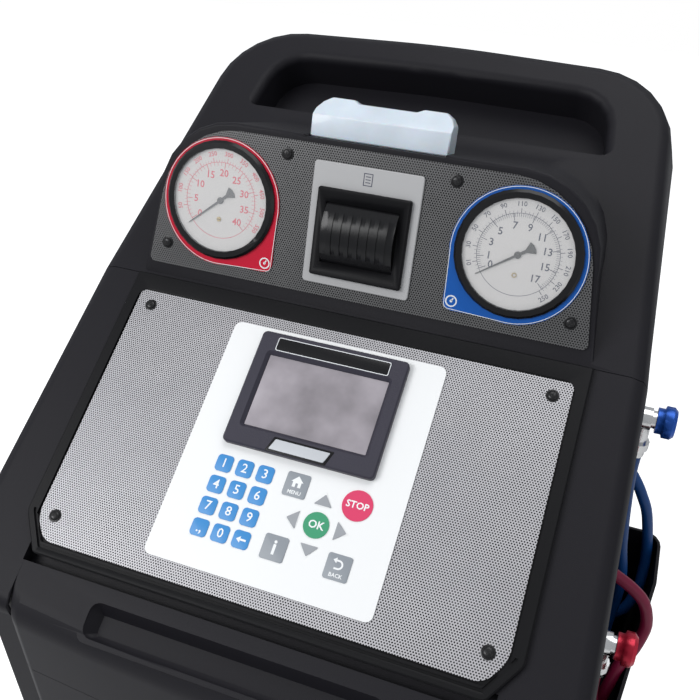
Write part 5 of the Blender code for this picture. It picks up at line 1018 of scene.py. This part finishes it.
def key_caps():
    """Coloured caps printed over the embossed keys."""
    blue, grey, triangles = bmesh.new(), bmesh.new(), bmesh.new()
    for place in key_places().values():
        half = KEY_SIDE / 2
        join(blue, slab(rectangle(place, half, half, 0.0034), KEY_LOW, KEY_HIGH, 0.0002))
    for place in ICON_KEYS.values():
        half = ICON_SIDE / 2
        join(grey, slab(rectangle(place, half, half, 0.0022), KEY_LOW, KEY_HIGH, 0.0002))
    for quarter in range(4):
        turn = Matrix.Rotation(math.radians(90 * quarter), 4, "Z")
        base = ARROW_REACH
        tip = base + ARROW_SIDE * 0.62
        corners = [(-ARROW_SIDE / 2, base, 0.0008), (ARROW_SIDE / 2, base, 0.0008), (0.0, tip, 0.0008)]
        spot = Matrix.Translation((OK_KEY[0], OK_KEY[1], 0.0))
        join(triangles, slab(corners, KEY_LOW, KEY_HIGH, 0.0), spot @ turn)
    piece(
        "number_keys", blue, CONSOLE, STATION, print_ink("Light blue key", tuple(colours().keys)),
    )
    piece(
        "icon_keys", grey, CONSOLE, STATION, print_ink("Grey key", (0.250, 0.275, 0.305)),
    )
    piece(
        "arrow_keys", triangles, CONSOLE, STATION, print_ink("Arrow grey", (0.300, 0.315, 0.340)),
    )
    ok = disc(bmesh.new(), OK_KEY, 0.0105, KEY_LOW, KEY_HIGH)
    piece("ok_key", ok, CONSOLE, STATION, print_ink("Green key", (0.035, 0.290, 0.145)))
    stop = disc(bmesh.new(), STOP_KEY, 0.0125, KEY_LOW, KEY_HIGH)
    piece("stop_key", stop, CONSOLE, STATION, print_ink("Red key", (0.640, 0.035, 0.120)))


def back_arrow(bm, centre, size, low):
    """A left arrow for clearing the last figure."""
    head = [
        (centre[0] - size, centre[1], 0.0), (centre[0] - size * 0.2, centre[1] - size * 0.62, 0.0),
        (centre[0] - size * 0.2, centre[1] + size * 0.62, 0.0),
    ]
    join(bm, slab(head, low, low + PRINT))
    bar(
        bm, (centre[0] - size * 0.3, centre[1]), (centre[0] + size, centre[1]), size * 0.38, low,
        low + PRINT,
    )


def house(bm, centre, size, low):
    u, v = centre
    shape = [
        (u - size * 0.7, v - size * 0.8, 0), (u - size * 0.2, v - size * 0.8, 0),
        (u - size * 0.2, v - size * 0.15, 0), (u + size * 0.2, v - size * 0.15, 0),
        (u + size * 0.2, v - size * 0.8, 0), (u + size * 0.7, v - size * 0.8, 0),
        (u + size * 0.7, v + size * 0.05, 0), (u + size, v + size * 0.05, 0),
        (u, v + size, 0), (u - size, v + size * 0.05, 0), (u - size * 0.7, v + size * 0.05, 0),
    ]
    join(bm, slab(shape, low, low + PRINT))


def return_arrow(bm, centre, size, low):
    """An arrow that turns back on itself."""
    u, v = centre
    width = size * 0.28
    ring_part = bmesh.new()
    ring(ring_part, (u, v - size * 0.05), size * 0.48, size * 0.76, low, low + PRINT, 40)
    bmesh.ops.bisect_plane(
        ring_part, geom=ring_part.verts[:] + ring_part.edges[:] + ring_part.faces[:], dist=WELD / 10,
        plane_co=(u, v, 0), plane_no=(-1, 0, 0), clear_outer=True,
    )
    join(bm, ring_part)
    bar(bm, (u - size * 0.5, v + size * 0.57), (u, v + size * 0.57), width, low, low + PRINT)
    bar(bm, (u - size * 0.6, v - size * 0.67), (u, v - size * 0.67), width, low, low + PRINT)
    head = [
        (u - size, v + size * 0.57, 0), (u - size * 0.42, v + size * 0.12, 0),
        (u - size * 0.42, v + size * 1.02, 0),
    ]
    join(bm, slab(head, low, low + PRINT))


def key_print():
    """Words and figures on the keys."""
    bm = bmesh.new()
    low = KEY_HIGH
    for text, place in key_places().items():
        if text == "back":
            back_arrow(bm, place, 0.0042, low)
        elif text == ".":
            lettering(bm, ".,", 0.0120, place, 0.0, low, 0.01)
        else:
            lettering(bm, text, 0.0108, place, 0.0, low, 0.008)
    u, v = ICON_KEYS["menu"]
    house(bm, (u, v + 0.0022), 0.0052, low)
    lettering(bm, "MENU", 0.0042, (u, v - 0.0064), 0.0, low, 0.02)
    u, v = ICON_KEYS["info"]
    lettering(bm, "i", 0.0165, (u, v), 0.0, low, 0.025)
    u, v = ICON_KEYS["return"]
    return_arrow(bm, (u, v + 0.0022), 0.0050, low)
    lettering(bm, "BACK", 0.0042, (u, v - 0.0064), 0.0, low, 0.02)
    lettering(bm, "OK", 0.0088, OK_KEY, 0.0, low, 0.02)
    lettering(bm, "STOP", 0.0078, STOP_KEY, 0.0, low, 0.02)
    piece(
        "key_print", bm, CONSOLE, STATION, print_ink("White print", (0.80, 0.82, 0.83)),
        smooth=False,
    )


# Display


def screen_glass():
    """The reflective screen, with the room's reflection painted into its colour as a cloudy grey."""
    material = finish(
        "Screen glass with painted reflection", (0.290, 0.268, 0.292), 0.14, (16.0, 2.2, 0.10), (50.0, 0.0), Specular_IOR_Level=0.3,
    )
    return material


def display_trim():
    """The gloss strip above the window and the small badge under it."""
    low = BEZEL_TOP
    strip = slab(rectangle((0.0008, -0.0424), 0.0506, 0.0060, 0.0016), low - 0.0002, low + 0.0005, 0.0002)
    piece("display_strip", strip, CONSOLE, STATION, gloss_plastic())
    bm = bmesh.new()
    outer = rectangle((0.0008, -0.0424), 0.0508, 0.0062, 0.0018)
    inner = rectangle((0.0008, -0.0424), 0.0502, 0.0056, 0.0014)
    outlined(bm, outer, inner, low + 0.0002, low + 0.00065)
    piece(
        "display_strip_line", bm, CONSOLE, STATION, print_ink("Light print", (0.72, 0.74, 0.76)),
        smooth=False,
    )
    mount = slab(slanted((0.0012, -0.1285), 0.0262, 0.0064, 0.0022), low - 0.0002, low + 0.0004, 0.0002)
    piece("badge_mount", mount, CONSOLE, STATION, gloss_plastic())
    badge = slab(slanted((0.0012, -0.1285), 0.0238, 0.0046, 0.0018), low + 0.0004, low + 0.0008, 0.0002)
    piece(
        "badge_plate", badge, CONSOLE, STATION, print_ink("Light badge", (0.50, 0.52, 0.55), 0.3),
    )


def slanted(centre, half_u, half_v, lean):
    u, v = centre
    return [
        (u - half_u - lean, v - half_v, 0.0008), (u + half_u - lean, v - half_v, 0.0008),
        (u + half_u + lean, v + half_v, 0.0008), (u - half_u + lean, v + half_v, 0.0008),
    ]


def outlined(bm, outer, inner, low, high):
    """A thin frame between two rounded outlines."""
    flat = bmesh.new()
    for corners in (outer, inner):
        points = outline_of(corners)
        verts = [flat.verts.new((p.x, p.y, low)) for p in points]
        for start, end in zip(verts, verts[1:] + verts[:1]):
            flat.edges.new((start, end))
    bmesh.ops.bridge_loops(flat, edges=list(flat.edges))
    raised(flat, high - low)
    return join(bm, flat)


# Shells, wheels and fittings


def plain_nodes():
    """CAD nodes kept in their own shape: each gets its finish and even shading."""
    casing, frame_black, gloss = casing_plastic(), frame_plastic(), gloss_plastic()
    zinc_plate, copper_tube = zinc(), finish("Copper tube", (0.72, 0.36, 0.22), 0.28, Metallic=1.0)
    return {
        "upper_casing": casing, "front_casing": casing, "left_side_panel": casing,
        "right_side_panel": casing, "hose_bin": casing, "lower_front_cover": casing,
        "rear_cover": powder_coat(), "base_tray": powder_coat(), "console_frame": frame_black,
        "display_bezel": bezel_plastic(), "printer_surround": surround_plastic(),
        "printer_body": frame_black, "printer_door": gloss, "paper_roll": paper(),
        "low_gauge_case": gloss, "high_gauge_case": gloss, "low_gauge_dial": dial_white(),
        "high_gauge_dial": dial_white(), "low_gauge_badge": low_badge(), "high_gauge_badge": high_badge(),
        "low_gauge_pointer": grey_pointer(), "high_gauge_pointer": black_pointer(),
        "keypad_membrane": white_membrane(), "display_screen": screen_glass(),
        "blue_coupler": nickel(), "red_coupler": nickel(),
        "blue_coupler_knob": anodised("Blue anodised knob", (0.012, 0.085, 0.420)),
        "red_coupler_knob": anodised("Red anodised knob", (0.480, 0.014, 0.040)),
        "blue_hose_outlet": brass(), "red_hose_outlet": brass(),
        "mains_inlet": gloss, "power_switch": gloss, "rear_axle": zinc_plate,
        "left_caster_fork": zinc_plate, "right_caster_fork": zinc_plate,
        "condenser": finish("Aluminium fins", (0.66, 0.67, 0.68), 0.4, Metallic=1.0),
        "cooling_fan": finish("Fan plastic", (0.03, 0.03, 0.032), 0.5),
        "compressor": finish("Compressor black", (0.02, 0.02, 0.022), 0.35),
        "vacuum_pump": finish("Pump enamel", (0.05, 0.12, 0.28), 0.4),
        "refrigerant_tank": finish("Tank blue", (0.10, 0.30, 0.55), 0.35),
        "control_board": finish("Board green", (0.02, 0.14, 0.06), 0.45),
        "valve_manifold": brass(), "filter_drier": copper_tube, "tank_scale": zinc_plate,
        "inner_shelf": zinc_plate,
    }


def dial_white():
    return finish("Dial white", (0.560, 0.540, 0.530), 0.45, (10.0, 0.03, 0.05), (900.0, 0.000005))


def low_badge():
    return finish(
        "Red badge", tuple(colours().low), 0.40, (20.0, 0.08, 0.05), (900.0, 0.00001),
        Specular_IOR_Level=0.2,
    )


def high_badge():
    return finish(
        "Blue badge", tuple(colours().high), 0.40, (20.0, 0.08, 0.05), (900.0, 0.00001),
        Specular_IOR_Level=0.2,
    )


def grey_pointer():
    return finish("Dark grey pointer", (0.060, 0.060, 0.066), 0.42)


def black_pointer():
    return finish("Black pointer", (0.012, 0.012, 0.013), 0.35)


def surround_plastic():
    return finish("Light grey surround", (0.400, 0.400, 0.405), 0.45, (12.0, 0.05, 0.06), (1300.0, 0.00003))


def paper():
    return finish("Thermal paper", (0.78, 0.78, 0.76), 0.6, (60.0, 0.04, 0.02), (800.0, 0.00004))


# Painted shade: the perforated steel darkened, because the steep gauge face turns away from the light.
def dark_sheet_steel():
    return finish(
        "Shaded perforated steel", (0.125, 0.125, 0.127), 0.42, (30.0, 0.2, 0.1), (1200.0, 0.00001),
        Metallic=0.5,
    )


def dress_nodes():
    for node, material in plain_nodes().items():
        dress(node, material)


def lenses():
    for node in ("low_gauge_lens", "high_gauge_lens"):
        NODES[node].data.materials[0] = gauge_lens_glass()


def lens_light():
    """The translucent status light."""
    lamp = finish(
        "Frosted lens", (0.570, 0.640, 0.710), 0.22, (25.0, 0.35, 0.15), (120.0, 0.00006),
        Subsurface_Weight=0.25, Subsurface_Scale=0.01, Coat_Weight=0.4,
    )
    dress("status_light", lamp)


def in_rim(face):
    """Whether a face of a rear wheel belongs to its grey centre."""
    return math.hypot(face.center.y - REAR_WHEEL[0], face.center.z - REAR_WHEEL[1]) < RIM_RADIUS


def wheels():
    """Rear wheels and casters: rubber treads, on grey centres at the rear."""
    for side in ("left", "right"):
        dress(f"{side}_rear_wheel", tyre_rubber(), [(hub_plastic(), in_rim)])
        dress(f"{side}_caster_wheel", tyre_rubber())


# Stage


def aim(obj, place, target):
    obj.location = place
    run = Vector(target) - Vector(place)
    obj.rotation_euler = run.to_track_quat("-Z", "Y").to_euler()


def softbox(name, place, target, width, height, power):
    light = bpy.data.lights.new(name, "AREA")
    light.shape = "RECTANGLE"
    light.size = width
    light.size_y = height
    light.energy = power
    obj = bpy.data.objects.new(name, light)
    bpy.context.scene.collection.objects.link(obj)
    aim(obj, place, target)
    return obj


def only_for_camera(nodes, links, seen, unseen, target):
    """One shader for what the camera sees itself, and another for all other rays."""
    path = nodes.new("ShaderNodeLightPath")
    mix = nodes.new("ShaderNodeMixShader")
    links.new(path.outputs["Is Camera Ray"], mix.inputs["Fac"])
    links.new(unseen.outputs[0], mix.inputs[1])
    links.new(seen.outputs[0], mix.inputs[2])
    links.new(mix.outputs[0], target)


def white_room():
    """A soft pale room that the camera sees as plain white."""
    world = bpy.data.worlds.new("Studio")
    bpy.context.scene.world = world
    world.use_nodes = True
    nodes, links = world.node_tree.nodes, world.node_tree.links
    nodes.clear()
    output = nodes.new("ShaderNodeOutputWorld")
    seen, room = nodes.new("ShaderNodeBackground"), nodes.new("ShaderNodeBackground")
    seen.inputs["Color"].default_value = (1.0, 1.0, 1.0, 1.0)
    seen.inputs["Strength"].default_value = 1.0
    room.inputs["Color"].default_value = (0.93, 0.96, 1.0, 1.0)
    room.inputs["Strength"].default_value = ROOM_LIGHT
    only_for_camera(nodes, links, seen, room, output.inputs["Surface"])


def floor():
    """A pale floor under the station, with its shadow."""
    bm = bmesh.new()
    bmesh.ops.create_grid(bm, x_segments=1, y_segments=1, size=4.0)
    mesh = bpy.data.meshes.new("studio_floor")
    bm.to_mesh(mesh)
    bm.free()
    obj = bpy.data.objects.new("studio_floor", mesh)
    bpy.context.scene.collection.objects.link(obj)
    material = finish("Pale floor", (0.84, 0.84, 0.84), 0.8, (2.0, 0.02, 0.02), (200.0, 0.0))
    nodes, links = material.node_tree.nodes, material.node_tree.links
    path = nodes.new("ShaderNodeLightPath")
    lift = nodes.new("ShaderNodeMath")
    lift.operation = "MULTIPLY"
    lift.inputs[1].default_value = FLOOR_LIFT
    links.new(path.outputs["Is Camera Ray"], lift.inputs[0])
    shader = nodes["Principled BSDF"]
    shader.inputs["Emission Color"].default_value = (1.0, 1.0, 1.0, 1.0)
    links.new(lift.outputs[0], shader.inputs["Emission Strength"])
    mesh.materials.append(material)
    return obj


def photo_camera():
    """The camera recovered from the photograph."""
    data = bpy.data.cameras.new("photo_camera")
    data.lens = 44.83
    data.sensor_width = 36.0
    camera = bpy.data.objects.new("photo_camera", data)
    bpy.context.scene.collection.objects.link(camera)
    turn = Matrix((CAMERA_RIGHT, CAMERA_UP, [-value for value in CAMERA_FORWARD])).transposed()
    camera.matrix_world = Matrix.Translation(CAMERA_PLACE) @ turn.to_4x4()
    bpy.context.scene.camera = camera
    return camera


# Operators


class STATION_OT_stage(bpy.types.Operator):
    """Set up the camera, the lights and the floor"""
    bl_idname = "station.stage"
    bl_label = "Stage"

    def execute(self, context):
        camera = photo_camera()
        white_room()
        middle = (0.0, 0.0, 0.75)
        lights = [
            softbox("key_softbox", (-1.5, -1.7, 2.4), middle, 1.6, 1.2, KEY_POWER),
            softbox("top_softbox", (0.3, 0.5, 2.9), middle, 1.6, 1.6, TOP_POWER),
            softbox("fill_softbox", (2.2, -1.2, 1.4), middle, 1.4, 1.4, FILL_POWER),
        ]
        floor()
        context.scene.view_settings.view_transform = "Standard"
        return {"FINISHED"}


class STATION_OT_hoses(bpy.types.Operator):
    """Wind both charging hoses in the side bin"""
    bl_idname = "station.hoses"
    bl_label = "Hoses"

    def execute(self, context):
        palette = colours()
        hose(
            "blue_hose", BLUE_DROP, BLUE_RISE, WAY_IN_BLUE + WAY_IN, WAY_OUT + WAY_OUT_BLUE,
            BLUE_COIL_Y, palette.high_hose, "blue",
        )
        hose(
            "red_hose", RED_DROP, RED_RISE, WAY_IN_RED + WAY_IN, WAY_OUT + WAY_OUT_RED,
            RED_COIL_Y, palette.low_hose, "red",
        )
        return {"FINISHED"}


class STATION_OT_sheets(bpy.types.Operator):
    """Perforated sheets of the console and the gauge face, with their screws"""
    bl_idname = "station.sheets"
    bl_label = "Perforated sheets"

    def execute(self, context):
        console_sheet()
        gauge_sheet()
        screws("console_screws", CONSOLE_SCREWS, CONSOLE, 0.0)
        screws("gauge_screws", GAUGE_SCREWS, GAUGE_FACE, 0.0)
        return {"FINISHED"}


class STATION_OT_gauges(bpy.types.Operator):
    """Print the dials and badges and glaze the gauges"""
    bl_idname = "station.gauges"
    bl_label = "Gauges"

    def execute(self, context):
        low_top = top_of("low_gauge_dial", GAUGE_FACE)
        high_top = top_of("high_gauge_dial", GAUGE_FACE)
        red_ink = print_ink("Red print", (0.620, 0.075, 0.115))
        dark_ink = print_ink("Dark print", (0.020, 0.024, 0.060))
        piece(
            "low_dial_print", low_scale(low_top), GAUGE_FACE, STATION, red_ink,
            smooth=False,
        )
        piece(
            "high_dial_print", high_scale(high_top), GAUGE_FACE, STATION, dark_ink,
            smooth=False,
        )
        badge_print("low_badge_print", -1, top_of("low_gauge_badge", GAUGE_FACE))
        badge_print("high_badge_print", 1, top_of("high_gauge_badge", GAUGE_FACE))
        screw_caps()
        receipt_icon()
        lenses()
        return {"FINISHED"}


class STATION_OT_keypad(bpy.types.Operator):
    """Colour and letter the keypad"""
    bl_idname = "station.keypad"
    bl_label = "Keypad"

    def execute(self, context):
        key_caps()
        key_print()
        return {"FINISHED"}


class STATION_OT_display(bpy.types.Operator):
    """Trim the display"""
    bl_idname = "station.display"
    bl_label = "Display"

    def execute(self, context):
        display_trim()
        return {"FINISHED"}


class STATION_OT_shells(bpy.types.Operator):
    """Dress the casings, fittings, wheels and works"""
    bl_idname = "station.shells"
    bl_label = "Shells and fittings"

    def execute(self, context):
        dress_nodes()
        lens_light()
        wheels()
        return {"FINISHED"}


class STATION_PT_panel(bpy.types.Panel):
    """Buttons for each group of pieces"""
    bl_idname = "STATION_PT_panel"
    bl_label = "AC service station"
    bl_space_type = "VIEW_3D"
    bl_region_type = "UI"
    bl_category = "Station"

    def draw(self, context):
        for step in STEPS:
            self.layout.operator(step.bl_idname)
        for settings in (context.scene.station_sizes, context.scene.station_colours):
            for name in settings.__annotations__:
                self.layout.prop(settings, name)


STEPS = (
    STATION_OT_stage, STATION_OT_hoses, STATION_OT_sheets, STATION_OT_gauges,
    STATION_OT_keypad, STATION_OT_display, STATION_OT_shells,
)
CLASSES = (StationSizes, StationColours, *STEPS, STATION_PT_panel)


def register():
    for cls in CLASSES:
        bpy.utils.register_class(cls)
    bpy.types.Scene.station_sizes = bpy.props.PointerProperty(type=StationSizes)
    bpy.types.Scene.station_colours = bpy.props.PointerProperty(type=StationColours)


def unregister():
    del bpy.types.Scene.station_colours
    del bpy.types.Scene.station_sizes
    for cls in reversed(CLASSES):
        bpy.utils.unregister_class(cls)


def main():
    register()
    bpy.ops.station.stage()
    bpy.ops.station.hoses()
    bpy.ops.station.sheets()
    bpy.ops.station.gauges()
    bpy.ops.station.keypad()
    bpy.ops.station.display()
    bpy.ops.station.shells()


if __name__ == "__main__":
    main()
